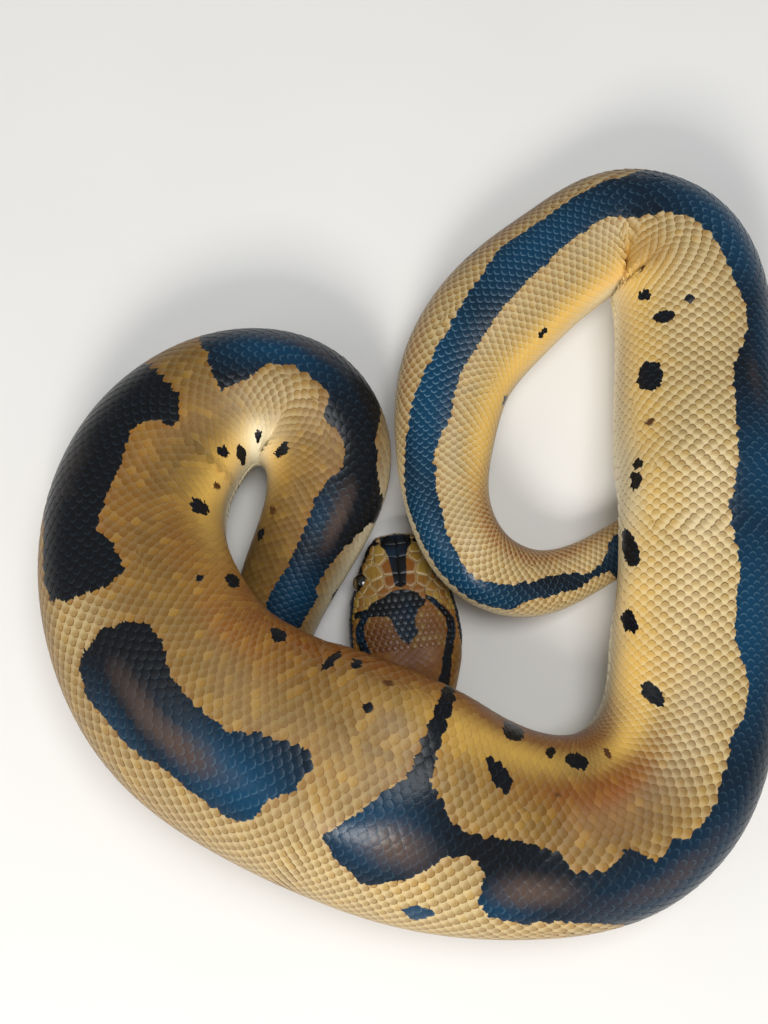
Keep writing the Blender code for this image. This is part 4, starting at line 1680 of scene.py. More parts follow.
@dataclass
class ScaleCoat:
    """The rows of scales over back and flanks, in bands of rows that each run the whole length."""

    flesh: Flesh
    markings: Markings
    rows: int = 64
    bands: int = 8
    back_share: float = 0.73
    start: float = 33.2
    end: float = 862.2
    pitch_base: float = 1.3
    pitch_slope: float = 0.034
    pitch_most: float = 2.85
    row_base: float = 1.05
    row_slope: float = 0.0185
    nape_pitch: float = 1.75
    nape_row: float = 1.4
    nape_growth: float = 0.012
    nape_start: float = 30.0
    depth: float = 1.0
    most_depth: float = 1.05
    least_depth: float = 0.12
    depth_power: float = 1.5
    flattened: float = 0.55
    lean: float = 0.08
    jitter: float = 0.2
    reach: float = 1.4
    share_step: float = 0.01
    run_step: float = 0.5
    run_margin: float = 3.0
    drop_run: float = 3.0
    least_stretch: float = 0.16
    least_forward: float = 0.06
    steady: float = 0.3
    steady_from: float = 0.5
    steady_run: float = 0.4
    least_full: float = 0.3
    blend: float = 0.6
    full_pitch: float = 2.85
    seed: int = 7
    dropped: tuple[int, ...] = (
        14, 48, 22, 40, 6, 56, 10, 52, 26, 36, 18, 44, 2, 60, 12, 50, 24, 38, 8, 54, 20, 42, 4, 58,
    )  # fmt: skip

    def pitch(self, places: Array) -> Array:
        """The distance from one scale of a row to the next.

        Args:
            places: Distances back from the snout.

        Returns:
            The distance at each place.
        """
        width = self.flesh.route.at(places)[2]
        free = np.minimum(self.pitch_base + self.pitch_slope * width, self.pitch_most)
        return np.minimum(free, self.nape_pitch + (places - self.nape_start) * self.nape_growth)

    def row_width(self, places: Array) -> Array:
        """The width that a row takes where it is free to choose."""
        free = self.row_base + self.row_slope * self.flesh.route.at(places)[2]
        return np.minimum(free, self.nape_row + (places - self.nape_start) * self.nape_growth)

    def row_table(self, places: Array) -> tuple[Array, Array, Array]:
        """Where each row lies.

        Args:
            places: Distances back from the snout.

        Returns:
            The share of the girth of each row, how full it is, and the width of a full row, at each place.
        """
        girth = self.flesh.girth_at(places)
        wanted = self.back_share * girth / self.row_width(places)
        full = np.ones((len(places), self.rows))
        for order, row in enumerate(self.dropped):
            keep = smooth((wanted - (self.rows - 2 * order - self.drop_run)) / self.drop_run)
            full[:, row : row + 2] = keep[:, None]
        run = np.cumsum(full, axis=1) - full / 2
        total = full.sum(axis=1, keepdims=True)
        share = read(BACK_LINE, places)[:, None] + self.back_share * (run / total - 0.5)
        return share, full, self.back_share * girth[:, None] / total

    def roots(self) -> dict[str, Array]:
        """The root of every scale: place, row, share, size, frame and masks.

        Returns:
            Values for every scale, by name.
        """
        fine = np.arange(self.start - self.run_margin, self.end + self.run_margin, self.run_step)
        run = np.r_[0, np.cumsum(np.diff(fine) / self.pitch((fine[1:] + fine[:-1]) / 2))]
        halves = np.arange(2 * int(run[-1]) - 1)
        place = np.interp(halves / 2, run, fine)
        inside = (place > self.start) & (place < self.end)
        halves, place = halves[inside], place[inside]
        share, full, wide = self.row_table(place)
        ahead = self.row_table(place + self.reach)[0]
        behind = self.row_table(place - self.reach)[0]
        column, row = np.meshgrid(np.arange(len(place)), np.arange(self.rows), indexing="ij")
        keep = ((halves[column] + row) % 2 == 0) & (full > self.least_full)
        s, q = place[column], share
        along = self.flesh.points(s + self.reach, ahead) - self.flesh.points(s - self.reach, behind)
        spine = self.flesh.points(s + self.reach, q * 0) - self.flesh.points(s - self.reach, q * 0)
        forward = np.sum(along * unit(spine), axis=-1) / (2 * self.reach)
        keep &= forward > self.least_forward
        s, r, q, along, spine = s[keep], row[keep], q[keep], along[keep], spine[keep]
        point = self.flesh.points(s, q)
        stretch = np.linalg.norm(along, axis=1) / (2 * self.reach)
        held = self.steady * smooth((self.steady_from - stretch) / self.steady_run)
        along = along + spine * held[:, None]
        side = self.flesh.points(s, q + self.share_step) - self.flesh.points(s, q - self.share_step)
        along = unit(along)
        normal = unit(np.cross(side, along))
        left = unit(np.cross(normal, along))
        pitch = self.pitch(s)
        length = pitch * np.maximum(stretch, self.least_stretch)
        width = np.broadcast_to(wide, share.shape)[keep] * np.minimum(full[keep], 1.0)
        return {
            "place": s, "row": r, "share": q, "point": point, "along": along, "left": left, "normal": normal,
            "length": length, "width": width, "pitch": pitch,
        }  # fmt: skip

    def euler(self, along: Array, left: Array, normal: Array) -> Array:
        """The XYZ turn that brings the axes onto along, left and normal.

        Args:
            along: The way that each scale points.
            left: The way across it.
            normal: The way out of the skin.

        Returns:
            Three angles for each scale.
        """
        pitch = np.arcsin(np.clip(-along[:, 2], -1, 1))
        roll = np.arctan2(left[:, 2], normal[:, 2])
        yaw = np.arctan2(along[:, 1], along[:, 0])
        return np.stack([roll, pitch, yaw], axis=1)

    def build(self) -> list[bpy.types.Object]:
        """Makes the bands of scales.

        Returns:
            The bands.
        """
        roots = self.roots()
        dice = np.random.default_rng(self.seed)
        count = len(roots["place"])
        girth = self.flesh.girth_at(roots["place"])
        shake = dice.uniform(-1, 1, (2, count)) * self.jitter
        kept = {
            "place": roots["place"] + self.lean * roots["length"] + shake[0],
            "share": roots["share"] + shake[1] / girth,
            "pitch": roots["pitch"],
            "wide": roots["width"] / girth,
            "tone": dice.beta(3, 3, count),
        }
        smoothness = self.markings.smoothness(kept["place"], kept["share"])
        turn = self.euler(roots["along"], roots["left"], roots["normal"])
        depth = (roots["length"] / self.full_pitch) ** self.depth_power
        depth = np.clip(depth, self.least_depth, self.most_depth) * (1 - self.flattened * smoothness)
        size = np.stack([roots["length"], roots["width"], depth], axis=1) * MM
        tree = CoatTree()
        group = tree.build()
        scale = ScaleShape().build()
        material = SkinFinish("scales").make(True)
        inputs = {"Scale": scale, "Depth": self.depth, "Patch": tree.patch, "Material": material}
        per_band = self.rows // self.bands
        made = []
        for band in range(self.bands):
            pick = roots["row"] // per_band == band
            within = (roots["row"][pick] - band * per_band + 0.5) / per_band
            u = self.flesh.route.unwrap(roots["place"][pick])
            root = np.stack([u, 0.02 + 0.96 * within, u * 0], axis=1)
            vectors = {"turn": turn[pick], "size": size[pick], "root": root}
            numbers = {name: values[pick] for name, values in kept.items()}
            holder = self._holder(f"scales_band_{band + 1}", roots["point"][pick], vectors, numbers)
            made.append(self._grown(holder, group, inputs))
        bpy.data.objects.remove(scale)
        LOG.info("scales: %d in %d bands", count, self.bands)
        return made

    def _holder(
        self, name: str, points: Array, vectors: dict[str, Array], numbers: dict[str, Array]
    ) -> bpy.types.Object:
        """A mesh of bare points with what each scale needs.

        Args:
            name: Its name.
            points: The roots of the scales.
            vectors: Vectors for each scale, by name.
            numbers: Numbers for each scale, by name.

        Returns:
            The object.
        """
        mesh = bpy.data.meshes.new(name)
        mesh.from_pydata((points * MM).tolist(), [], [])
        for key, values in vectors.items():
            layer = mesh.attributes.new(key, "FLOAT_VECTOR", "POINT")
            layer.data.foreach_set("vector", values.astype(np.float32).ravel())
        for key, values in numbers.items():
            keep_numbers(mesh, key, values)
        return linked(name, mesh)

    def _grown(
        self, holder: bpy.types.Object, group: bpy.types.NodeTree, values: dict[str, Any]
    ) -> bpy.types.Object:
        """Runs the tree on the points and keeps its result as a plain mesh.

        Args:
            holder: The points.
            group: The tree.
            values: The tree's inputs, by name.

        Returns:
            The band.
        """
        modifier = holder.modifiers.new("coat", "NODES")
        modifier.node_group = group
        for item in group.interface.items_tree:
            if item.item_type == "SOCKET" and item.in_out == "INPUT" and item.name in values:
                modifier[item.identifier] = values[item.name]
        bpy.context.view_layer.update()
        graph = bpy.context.evaluated_depsgraph_get()
        grown = holder.evaluated_get(graph)
        mesh = bpy.data.meshes.new_from_object(grown, preserve_all_data_layers=True, depsgraph=graph)
        mesh.name = holder.name
        holder.modifiers.clear()
        holder.data = mesh
        self._colour(mesh)
        for name in ("turn", "size", "root", "over", "place", "share", "pitch", "wide"):
            if name in mesh.attributes:
                mesh.attributes.remove(mesh.attributes[name])
        finish_piece(holder)
        return holder

    def _colour(self, mesh: bpy.types.Mesh) -> None:
        """Gives every point of the scales the masks of its place, drawn a little towards the scale's root.

        Args:
            mesh: The band's mesh.
        """
        count = len(mesh.vertices)
        names = ("place", "share", "pitch", "wide", "along", "over")
        kept = {name: np.zeros(count, np.float32) for name in names}
        for name, values in kept.items():
            mesh.attributes[name].data.foreach_get("value", values)
        points = np.zeros(count * 3, np.float32)
        mesh.vertices.foreach_get("co", points)
        place = kept["place"] + self.blend * kept["along"] * kept["pitch"]
        share = kept["share"] - self.blend * kept["over"] * kept["wide"]
        masks = self.markings.masks(place.astype(float), share.astype(float), points.reshape(-1, 3) / MM)
        for name, values in masks.items():
            keep_numbers(mesh, name, values)


@dataclass
class BellyScutes:
    """The broad plates under the body, single to the vent and in pairs under the tail."""

    flesh: Flesh
    markings: Markings
    share: float = 0.285
    start: float = 35.0
    end: float = 861.0
    pitch_ratio: float = 1.28
    segments: int = 16
    lift: float = 0.27
    split: float = 0.004
    side_fade: float = 0.06
    bow: float = 0.16
    seed: int = 11

    def build(self) -> bpy.types.Object:
        """Makes all the scutes as one mesh.

        Returns:
            The scutes.
        """
        kit = MeshKit("belly_scutes")
        coat = ScaleCoat(self.flesh, self.markings)
        dice = np.random.default_rng(self.seed)
        vent = self.flesh.route.marks["vent"]
        place = self.start
        while place < self.end:
            pitch = float(coat.pitch(np.array([place]))[0]) * self.pitch_ratio
            if place < vent:
                self._scute(kit, place, pitch, -self.share / 2, self.share / 2, dice)
            else:
                self._scute(kit, place, pitch, -self.share / 2, self.split, dice)
                self._scute(kit, place + pitch / 2, pitch, -self.split, self.share / 2, dice)
            place += pitch
        obj = kit.build(SkinFinish("belly", roughness=0.32).make(True))
        finish_piece(obj)
        return obj

    def _scute(
        self, kit: MeshKit, place: float, pitch: float, low: float, high: float, dice: np.random.Generator
    ) -> None:
        """Adds one scute from low to high share either side of the belly's middle line.

        Args:
            kit: The mesh that it goes into.
            place: How far back it is.
            pitch: The distance to the next scute.
            low: The share where it starts.
            high: The share where it ends.
            dice: The source of its small variations.
        """
        steps = np.linspace(0, 1, self.segments + 1)
        bow = 1 - (2 * steps - 1) ** 2
        end_fade = smooth(np.minimum(steps, 1 - steps) / self.side_fade)
        outer = ((-0.12, 0.03), (0.45, 0.16), (1.02, self.lift), (1.1, self.lift - 0.03))
        profile = outer + ((1.02, 0.06), (-0.12, -0.12))
        points, s_all, q_all, along = [], [], [], []
        for reach, rise in profile:
            s = place + pitch * (reach + self.bow * bow * (reach > 0.4) - self.bow / 2)
            q = read(BACK_LINE, s) + 0.5 + low + (high - low) * steps
            s = np.clip(s, 1.0, self.flesh.route.length - 1.0)
            ring = self.flesh.index(s)
            normal = unit(self.flesh.sample(self.flesh.normals, ring, q))
            height = np.where(rise > 0.05, rise * (0.35 + 0.65 * end_fade), rise)
            points.append(self.flesh.sample(self.flesh.grid, ring, q) + normal * height[:, None])
            s_all.append(s)
            q_all.append(q)
            along.append(np.full(len(steps), reach - 0.5))
        rows, columns = len(profile), self.segments + 1
        faces: Faces = []
        for r in range(rows):
            for c in range(columns - 1):
                t = (r + 1) % rows
                here, above = r * columns + c, t * columns + c
                faces.append((here, above, above + 1, here + 1))
        faces.append(tuple(r * columns for r in reversed(range(rows))))
        faces.append(tuple(r * columns + columns - 1 for r in range(rows)))
        s, q = np.concatenate(s_all), np.concatenate(q_all)
        point = np.concatenate(points)
        masks = self.markings.masks(s, q, point)
        u = self.flesh.route.unwrap(s)
        v = 0.5 + wrapped(q - read(BACK_LINE, s) - 0.5) * 2.6
        edge = np.tile(1 - end_fade * 0.6, rows)
        kit.add(
            point, faces, np.stack([u, v], axis=1), along=np.concatenate(along), rim=edge,
            tone=float(dice.beta(3, 3)), **masks,
        )  # fmt: skip


class Zone(Enum):
    """Which side of the mouth a head plate lies on."""

    UPPER = "upper"
    LOWER = "lower"


@dataclass
class PlateSeed:
    """The seed of a head plate: run back, arc from the middle line, weight and looks."""

    run: float
    arc: float
    weight: float = 0.0
    hue: float = 0.35
    lip: float = 0.0
    under: float = 0.0
    pit: float = 0.0
    drawn: bool = True
    dome: float = 1.0


@dataclass
class HeadPlates:
    """The plates and small scales of the head, each a cell of a weighted pattern laid over the skin."""

    flesh: Flesh
    reach: float = 34.6
    groove: float = 0.075
    corner: float = 0.28
    edge_step: float = 0.6
    plate_lift: float = 0.21
    plate_dome: float = 0.10
    small: float = 1.95
    window: float = 7.5
    far: float = 11.0
    least_area: float = 0.35
    jitter: float = 0.09
    steady_weight: float = 4.0
    upper_lip: float = 1.25
    lower_lip: float = 1.15
    upper_clear: float = 2.6
    lower_clear: float = 2.5
    eye_ring: float = 3.5
    eye_ring_count: int = 10
    unwrap_length: float = 50.0
    unwrap_girth: float = 110.0
    search_steps: int = 200
    seed: int = 5

    def __post_init__(self) -> None:
        """Reads what it needs of the head's surface."""
        count = int(np.searchsorted(self.flesh.places, NAPE_END))
        self.run = self.flesh.run[:count]
        self.back = self.flesh.places[:count]
        self.girth = self.flesh.girth[:count]
        self.mouth = self.flesh.mouth_arc[:count]
        self.dice = np.random.default_rng(self.seed)

    def run_at(self, back: float) -> float:
        """The run along the side at a distance back."""
        return float(np.interp(back, self.back, self.run))

    def top(self, back: float, out: float) -> tuple[float, float]:
        """Run and arc of a point of the crown, out from the middle line."""
        return self._find(back, lambda x, z: x >= out)

    def side(self, back: float, high: float) -> tuple[float, float]:
        """Run and arc of a point of the side at a height."""
        return self._find(back, lambda x, z: z <= high)

    def _find(self, back: float, reached: Callable[[float, float], bool]) -> tuple[float, float]:
        """Walks down from the crown until a test holds.

        Args:
            back: The distance back from the snout.
            reached: The test, on the distance out and the height.

        Returns:
            The run and the arc where it holds.
        """
        arcs = np.linspace(0, 0.5, self.search_steps)
        point = self.flesh.points(np.full(self.search_steps, back), arcs)
        x, y = self.flesh.route.at(np.array([back]))[:2]
        out = np.hypot(point[:, 0] - x, point[:, 1] - y)
        hits = [i for i in range(self.search_steps) if reached(out[i], point[i, 2])]
        share = arcs[hits[0]] if hits else 0.25
        girth = float(np.interp(back, self.back, self.girth))
        return self.run_at(back), float(share * girth)

    def upper_seeds(self) -> list[PlateSeed]:
        """Seeds above the mouth on one side, with those of the middle line at arc 0.

        Returns:
            The seeds.
        """
        seeds = [PlateSeed(0.9, 0.0, 2.2, hue=0.3, lip=0.4)]
        top_plates = (
            (2.7, 1.5, 0.0, 0.5), (5.6, 1.7, 0.0, 0.5), (5.2, 5.2, 0.6, 1.0), (10.4, 2.5, 2.6, 0.12),
            (15.2, 2.7, 0.3, 0.10), (8.2, 5.2, -0.6, 0.8), (11.6, 7.3, 3.4, 1.0), (15.6, 6.2, 0.0, 0.45),
            (8.0, 8.4, -0.4, 0.7), (17.4, 4.6, -0.3, 0.2), (17.3, 1.2, -0.4, 0.15), (17.2, 8.6, 0.0, 0.5),
        )  # fmt: skip
        for back, out, weight, hue in top_plates:
            run, arc = self.top(back, out)
            seeds.append(PlateSeed(run, arc, weight, hue=hue))
        side_plates = (
            (1.5, 7.3, 0.0), (4.6, 8.3, 0.3), (6.9, 8.9, 0.0), (3.4, 6.9, -0.1), (5.4, 6.9, 0.0),
            (7.4, 7.1, 0.0), (9.2, 7.4, 0.0), (9.1, 9.3, 0.0),
        )  # fmt: skip
        for back, high, weight in side_plates:
            run, arc = self.side(back, high)
            seeds.append(PlateSeed(run, arc, weight, hue=0.5))
        run, arc = self.side(self.flesh.nostril.back, self.flesh.nostril.high)
        seeds.append(PlateSeed(run, arc, -0.9, drawn=False))
        run, arc = self.side(self.flesh.eye_back, self.flesh.eye_height)
        seeds.append(PlateSeed(run, arc, 4.6, drawn=False))
        for i in range(self.eye_ring_count):
            turn = 2 * math.pi * (i + 0.5) / self.eye_ring_count
            back, out = self.eye_ring * math.cos(turn), self.eye_ring * math.sin(turn)
            seeds.append(PlateSeed(run + back, arc + out, 0.0, hue=0.6))
        labials = np.r_[2.6, 4.9, 7.2, 9.5, 11.9, 14.4, 17.0, 19.7, 22.4, 25.1, 27.8, 30.5, 33.2]
        for number, back in enumerate(labials):
            line = float(np.interp(back, self.back, self.mouth))
            run = self.run_at(float(back))
            pit = 1.0 if number < 4 else 0.0
            seeds.append(PlateSeed(run, line - self.upper_lip, 0.2, hue=0.6, lip=1.0, pit=pit))
            seeds.append(PlateSeed(run, line + self.upper_lip, 0.2, drawn=False))
        return self._filled(seeds, 16.8, lambda run, arc: arc < self._mouth_at(run) - self.upper_clear)

    def lower_seeds(self) -> list[PlateSeed]:
        """Seeds below the mouth on one side, arcs counted from the chin's middle line.

        Returns:
            The seeds.
        """
        seeds = [PlateSeed(0.8, 0.0, 1.0, under=1.0)]
        for back, arc, weight in ((4.4, 1.6, 1.2), (8.6, 1.7, 0.8), (12.4, 1.5, 0.2)):
            seeds.append(PlateSeed(self.run_at(back), arc, weight, under=1.0))
        for number, back in enumerate(np.arange(2.4, 33.5, 2.25)):
            run = self.run_at(float(back))
            line = self._chin_to_mouth(run)
            pit = 1.0 if 8 <= number <= 11 else 0.0
            seeds.append(PlateSeed(run, line - self.lower_lip, 0.2, lip=1.0, under=0.6, pit=pit * 0.6))
            seeds.append(PlateSeed(run, line + self.lower_lip, 0.2, drawn=False))
        return self._filled(seeds, 3.2, lambda run, arc: arc < self._chin_to_mouth(run) - self.lower_clear)

    def _mouth_at(self, run: float) -> float:
        """The arc from the crown to the mouth."""
        return float(np.interp(run, self.run, self.mouth))

    def _chin_to_mouth(self, run: float) -> float:
        """The arc from the chin to the mouth."""
        return float(np.interp(run, self.run, self.girth / 2 - self.mouth))

    def _filled(
        self, seeds: list[PlateSeed], first_back: float, inside: Callable[[float, float], bool]
    ) -> list[PlateSeed]:
        """Fills what the named plates leave with small scales, and mirrors all to the other side.

        Args:
            seeds: The named plates of one side.
            first_back: How far back the small scales start.
            inside: Whether a place belongs to this part of the head.

        Returns:
            The seeds of both sides.
        """
        named = list(seeds)
        step = self.small
        rows = np.arange(self.run_at(first_back), self.run_at(self.reach) + 3 * step, step * 0.86)
        for number, run in enumerate(rows):
            size = step * (1.0 - 0.12 * number / len(rows))
            for arc in np.arange((number % 2) * size / 2, 40.0, size):
                gaps = [math.hypot(run - s.run, arc - s.arc) - max(s.weight, 0) * 0.35 for s in named]
                if min(gaps) < 1.25 * size or not inside(run, arc):
                    continue
                hue = 0.95 if self.dice.random() < 0.3 else 0.12 + 0.3 * self.dice.random()
                under = seeds[0].under
                seeds.append(PlateSeed(float(run), float(arc), 0.0, hue=hue, under=under, dome=0.6))
        both = []
        for s in seeds:
            both.append(s)
            if s.arc > 0.05:
                both.append(replace(s, arc=-s.arc))
        for s in both:
            loose = s.weight < self.steady_weight
            s.run += float(self.dice.uniform(-self.jitter, self.jitter)) * loose
            s.arc += float(self.dice.uniform(-self.jitter, self.jitter)) * loose
        return both

    def cell(self, number: int, seeds: list[PlateSeed]) -> Array | None:
        """The cell of one seed as a polygon, or None where nothing is left of it.

        Args:
            number: Which seed.
            seeds: All the seeds.

        Returns:
            Its corners, or None.
        """
        seed = seeds[number]
        reach = self.window
        corners = [(-reach, -reach), (reach, -reach), (reach, reach), (-reach, reach)]
        shape = np.array(corners, float) + (seed.run, seed.arc)
        for other_number, other in enumerate(seeds):
            if other_number == number:
                continue
            way = np.array([other.run - seed.run, other.arc - seed.arc])
            apart = float(np.hypot(*way))
            if apart > self.far or apart < TINY:
                continue
            limit = apart / 2 + (seed.weight - other.weight) / (2 * apart)
            shape = self._clipped(shape, (seed.run, seed.arc), way / apart, limit)
            if len(shape) < 3:
                return None
        return shape

    def _clipped(self, shape: Array, centre: tuple[float, float], way: Array, limit: float) -> Array:
        """The part of a polygon nearer the centre than the limit along a way.

        Args:
            shape: The polygon.
            centre: The centre.
            way: The way, of length 1.
            limit: The limit.

        Returns:
            The polygon that is left.
        """
        over = (shape - centre) @ way - limit
        kept: list[Array] = []
        for i in range(len(shape)):
            j = (i + 1) % len(shape)
            if over[i] <= 0:
                kept.append(shape[i])
            if (over[i] < 0 < over[j]) or (over[j] < 0 < over[i]):
                share = over[i] / (over[i] - over[j])
                kept.append(shape[i] + (shape[j] - shape[i]) * share)
        return np.array(kept)

    def _rounded(self, shape: Array) -> Array:
        """The polygon shrunk by the groove, with its corners cut and its edges divided.

        Args:
            shape: The polygon.

        Returns:
            The new outline.
        """
        centre = shape.mean(axis=0)
        away = np.linalg.norm(shape - centre, axis=1, keepdims=True)
        shape = centre + (shape - centre) * np.maximum(1 - self.groove * 1.15 / np.maximum(away, 0.2), 0.5)
        after = np.roll(shape, -1, axis=0)
        length = np.linalg.norm(after - shape, axis=1, keepdims=True)
        step = (after - shape) * np.minimum(self.corner / np.maximum(length, TINY), 0.3)
        shape = np.stack([shape + step, after - step], axis=1).reshape(-1, 2)
        points: list[Array] = []
        for i in range(len(shape)):
            start, end = shape[i], shape[(i + 1) % len(shape)]
            parts = max(1, int(math.ceil(float(np.hypot(*(end - start))) / self.edge_step)))
            points += [start + (end - start) * k / parts for k in range(parts)]
        return np.array(points)

    def build(self) -> bpy.types.Object:
        """Makes all the plates as one mesh.

        Returns:
            The plates.
        """
        kit = MeshKit("head_plates")
        drawn = 0
        for zone, seeds in ((Zone.UPPER, self.upper_seeds()), (Zone.LOWER, self.lower_seeds())):
            for number, seed in enumerate(seeds):
                if not seed.drawn or seed.run > self.run_at(self.reach):
                    continue
                shape = self.cell(number, seeds)
                if shape is not None and self._area(shape) > self.least_area:
                    self._plate(kit, self._rounded(shape), seed, zone)
                    drawn += 1
        LOG.info("head plates: %d", drawn)
        obj = kit.build(HeadFinish().make())
        finish_piece(obj)
        return obj

    def _area(self, shape: Array) -> float:
        """The area of a polygon."""
        after = np.roll(shape, -1, axis=0)
        return abs(float((shape[:, 0] * after[:, 1] - shape[:, 1] * after[:, 0]).sum())) / 2

    def _plate(self, kit: MeshKit, outline: Array, seed: PlateSeed, zone: Zone) -> None:
        """Adds one plate over the skin.

        Args:
            kit: The mesh that it goes into.
            outline: Its outline.
            seed: Its seed.
            zone: The part of the head that it lies on.
        """
        centre = outline.mean(axis=0)
        area = self._area(outline)
        size = math.sqrt(area)
        rings = [(1.0, -0.16), (1.0, 0.09), (1 - 0.16 / max(size, 0.8), 0.17), (0.62, 0.2), (0.3, 0.215)]
        dome = self.plate_dome * seed.dome * min(1.0, size / 2.0)
        parts, rise, rim = [], [], []
        count = len(outline)
        for share, lift in rings:
            parts.append(centre + (outline - centre) * share)
            rise.append(np.full(count, lift * self.plate_lift / 0.21 + dome * (1 - share**2) * (lift > 0)))
            rim.append(np.full(count, share))
        parts.append(centre[None])
        rise.append(np.array([self.plate_lift + dome]))
        rim.append(np.zeros(1))
        flat = np.concatenate(parts)
        lift = np.concatenate(rise)
        edge = np.concatenate(rim)
        hole = np.clip(1 - edge / 0.45, 0, 1) * seed.pit
        lift = lift - 0.75 * hole
        point, back = self._on_skin(flat, lift, zone)
        layers = len(rings)
        faces: Faces = [tuple(range(count))] + ring_faces(layers, count)
        last = (layers - 1) * count
        faces += [(last + i, layers * count, last + (i + 1) % count) for i in range(count)]
        if zone is Zone.LOWER:
            faces = [tuple(reversed(face)) for face in faces]
        side = self.flesh.route.side_of(back, point)
        v = (0.27 if zone is Zone.UPPER else 0.77) + flat[:, 1] / self.unwrap_girth
        u = 0.02 + flat[:, 0] / self.unwrap_length
        lip = seed.lip
        if zone is Zone.UPPER:
            line = np.interp(flat[:, 0], self.run, self.mouth)
            lip = np.maximum(lip, 0.8 * smooth((np.abs(flat[:, 1]) - line + 5.2) / 2.0))
        kit.add(
            point, faces, np.stack([u, v], axis=1), back=back, side=side, high=point[:, 2],
            hue=seed.hue, lip=lip, under=seed.under, pit=np.clip(hole * 1.6, 0, 1), rim=edge,
            tone=float(self.dice.beta(3, 3)),
        )  # fmt: skip

    def _on_skin(self, flat: Array, lift: Array, zone: Zone) -> tuple[Array, Array]:
        """Lays run and arc onto the skin, with a lift along its normal.

        Args:
            flat: Points by run and arc.
            lift: How high each is lifted.
            zone: The part of the head that they lie on.

        Returns:
            The points, and their distances back from the snout.
        """
        run = np.maximum(flat[:, 0], 0.25)
        girth = np.interp(run, self.run, self.girth)
        limit = np.interp(run, self.run, self.mouth)
        if zone is Zone.LOWER:
            limit = girth / 2 - limit
        arc = np.clip(flat[:, 1], -limit + 0.1, limit - 0.1)
        share = arc / girth if zone is Zone.UPPER else 0.5 - arc / girth
        ring = np.interp(run, self.run, np.arange(len(self.run)))
        normal = unit(self.flesh.sample(self.flesh.normals, ring, share))
        point = self.flesh.sample(self.flesh.grid, ring, share)
        return point + normal * lift[:, None], np.interp(run, self.run, self.back)


@dataclass
class Eye:
    """One eyeball under its clear scale."""

    flesh: Flesh
    side: Side
    rings: int = 20
    segments: int = 36

    def build(self) -> bpy.types.Object:
        """Makes the eye and replaces the plain one with it.

        Returns:
            The eye.
        """
        f = self.flesh
        x, y, _, _, _, heading, _ = f.route.at(np.array([f.eye_back]))
        out = np.array([math.sin(heading[0]), -math.cos(heading[0]), 0.0]) * self.side.value
        along = np.array([math.cos(heading[0]), math.sin(heading[0]), 0.0])
        up = np.array([0.0, 0.0, 1.0])
        centre = np.array([x[0], y[0], f.eye_height]) + out * f.eye_out
        turns = np.linspace(0, np.pi, self.rings + 1)[1:-1]
        spin = np.arange(self.segments) / self.segments * 2 * np.pi
        points = [centre + out * f.eye_radius]
        local = [(0.0, 0.0)]
        for turn in turns:
            for angle in spin:
                a, u = math.sin(turn) * math.cos(angle), math.sin(turn) * math.sin(angle)
                points.append(centre + f.eye_radius * (out * math.cos(turn) + along * a + up * u))
                local.append((a, u))
        points.append(centre - out * f.eye_radius)
        local.append((0.0, 0.0))
        n = self.segments
        faces: Faces = [(0, 1 + i, 1 + (i + 1) % n) for i in range(n)]
        faces += ring_faces(len(turns), n, 1)
        last = 1 + (len(turns) - 1) * n
        faces += [(last + (i + 1) % n, last + i, len(points) - 1) for i in range(n)]
        flip = float(np.dot(np.cross(along, up), out)) < 0
        if flip:
            faces = [tuple(reversed(face)) for face in faces]
        shape, spot = np.array(points), np.array(local)
        name = "eye_" + self.side.name.lower()
        kit = MeshKit(name + "_ball")
        bake = 0.5 + 0.45 * spot
        kit.add(shape, faces, bake, eye_along=spot[:, 0], eye_up=spot[:, 1])
        obj = kit.build(EyeFinish().make())
        finish_piece(obj, [name])
        return obj


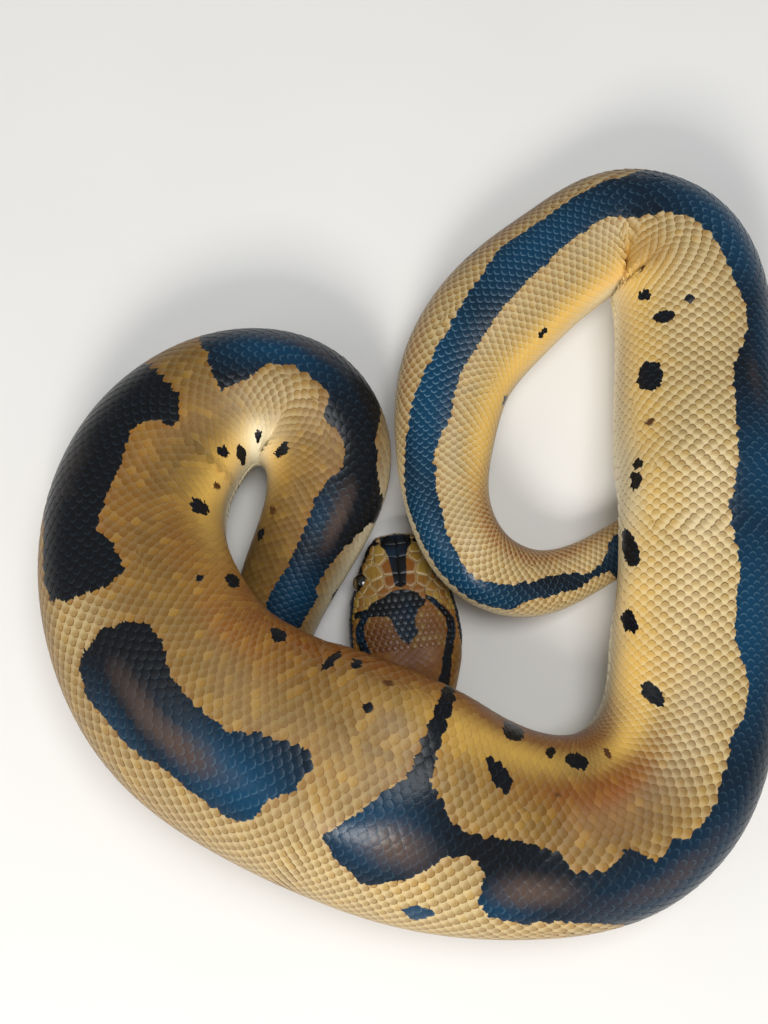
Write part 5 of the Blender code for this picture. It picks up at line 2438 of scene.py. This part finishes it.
@dataclass
class Studio:
    """The floor, lights and camera."""

    floor_size: float = 6.0
    camera_target: Vector = field(default_factory=lambda: Vector((-0.0214, 0.0062, 0.020)))
    camera_elevation: float = 80.0
    camera_distance: float = 0.391
    lens: float = 50.0

    def build(self) -> None:
        """Makes the floor, the lights, the world and the camera."""
        self._floor()
        self._light("key_light", (-0.12, -0.60, 0.56), 0.26, 5.0, (1.0, 0.97, 0.93))
        self._light("top_light", (0.15, 0.05, 1.1), 0.5, 7.0, (0.94, 0.97, 1.0))
        self._light("side_light", (-0.7, -0.2, 0.6), 0.5, 1.2, (1.0, 0.96, 0.9))
        self._world()
        self._camera()

    def _floor(self) -> None:
        """A wide flat floor at height 0."""
        half = self.floor_size / 2
        mesh = bpy.data.meshes.new("floor")
        corners = [(-half, -half, 0), (half, -half, 0), (half, half, 0), (-half, half, 0)]
        mesh.from_pydata(corners, [], [(0, 1, 2, 3)])
        mesh.materials.append(FloorFinish().make())
        linked("floor", mesh)

    def _light(self, name: str, place: Place, size: float, power: float, colour: Colour) -> None:
        """A square soft light that faces the middle of the animal.

        Args:
            name: Its name.
            place: Where it stands.
            size: Its width.
            power: Its power in watts.
            colour: Its colour.
        """
        data = bpy.data.lights.new(name, "AREA")
        data.shape = "SQUARE"
        data.size = size
        data.energy = power
        data.color = colour
        obj = linked(name, data)
        obj.location = place
        obj.rotation_euler = (Vector(place) * -1).to_track_quat("-Z", "Y").to_euler()

    def _world(self) -> None:
        """An even pale surround."""
        world = bpy.data.worlds.new("surround")
        world.use_nodes = True
        background = world.node_tree.nodes["Background"]
        background.inputs["Color"].default_value = (0.86, 0.92, 1.0, 1.0)
        background.inputs["Strength"].default_value = 0.3
        bpy.context.scene.world = world
        bpy.context.scene.view_settings.view_transform = "Standard"

    def _camera(self) -> None:
        """The camera, looking steeply down."""
        tilt = math.radians(self.camera_elevation)
        back = Vector((0.0, -math.cos(tilt), math.sin(tilt)))
        data = bpy.data.cameras.new("camera")
        data.lens = self.lens
        data.sensor_width = 36.0
        data.sensor_fit = "AUTO"
        data.clip_start = 0.01
        data.clip_end = 20.0
        obj = linked("camera", data)
        obj.location = self.camera_target + back * self.camera_distance
        obj.rotation_euler = (-back).to_track_quat("-Z", "Y").to_euler()
        bpy.context.scene.camera = obj


def main() -> None:
    """Builds the animal and the studio, piece by piece."""
    logging.basicConfig(level=logging.INFO, format="%(message)s")
    flesh = Flesh(BodyRoute())
    markings = Markings(flesh)
    LOG.info("flesh: %d rings", len(flesh.places))
    Studio().build()
    LOG.info("studio: done")
    skin = Skin(flesh, markings).build()
    LOG.info("skin: %d faces", len(skin.data.polygons))
    for band in ScaleCoat(flesh, markings).build():
        LOG.info("%s: %d faces", band.name, len(band.data.polygons))
    scutes = BellyScutes(flesh, markings).build()
    LOG.info("belly scutes: %d faces", len(scutes.data.polygons))
    plates = HeadPlates(flesh).build()
    LOG.info("head plates: %d faces", len(plates.data.polygons))
    for side in Side:
        Eye(flesh, side).build()
    LOG.info("eyes: done")


if __name__ == "__main__":
    main()
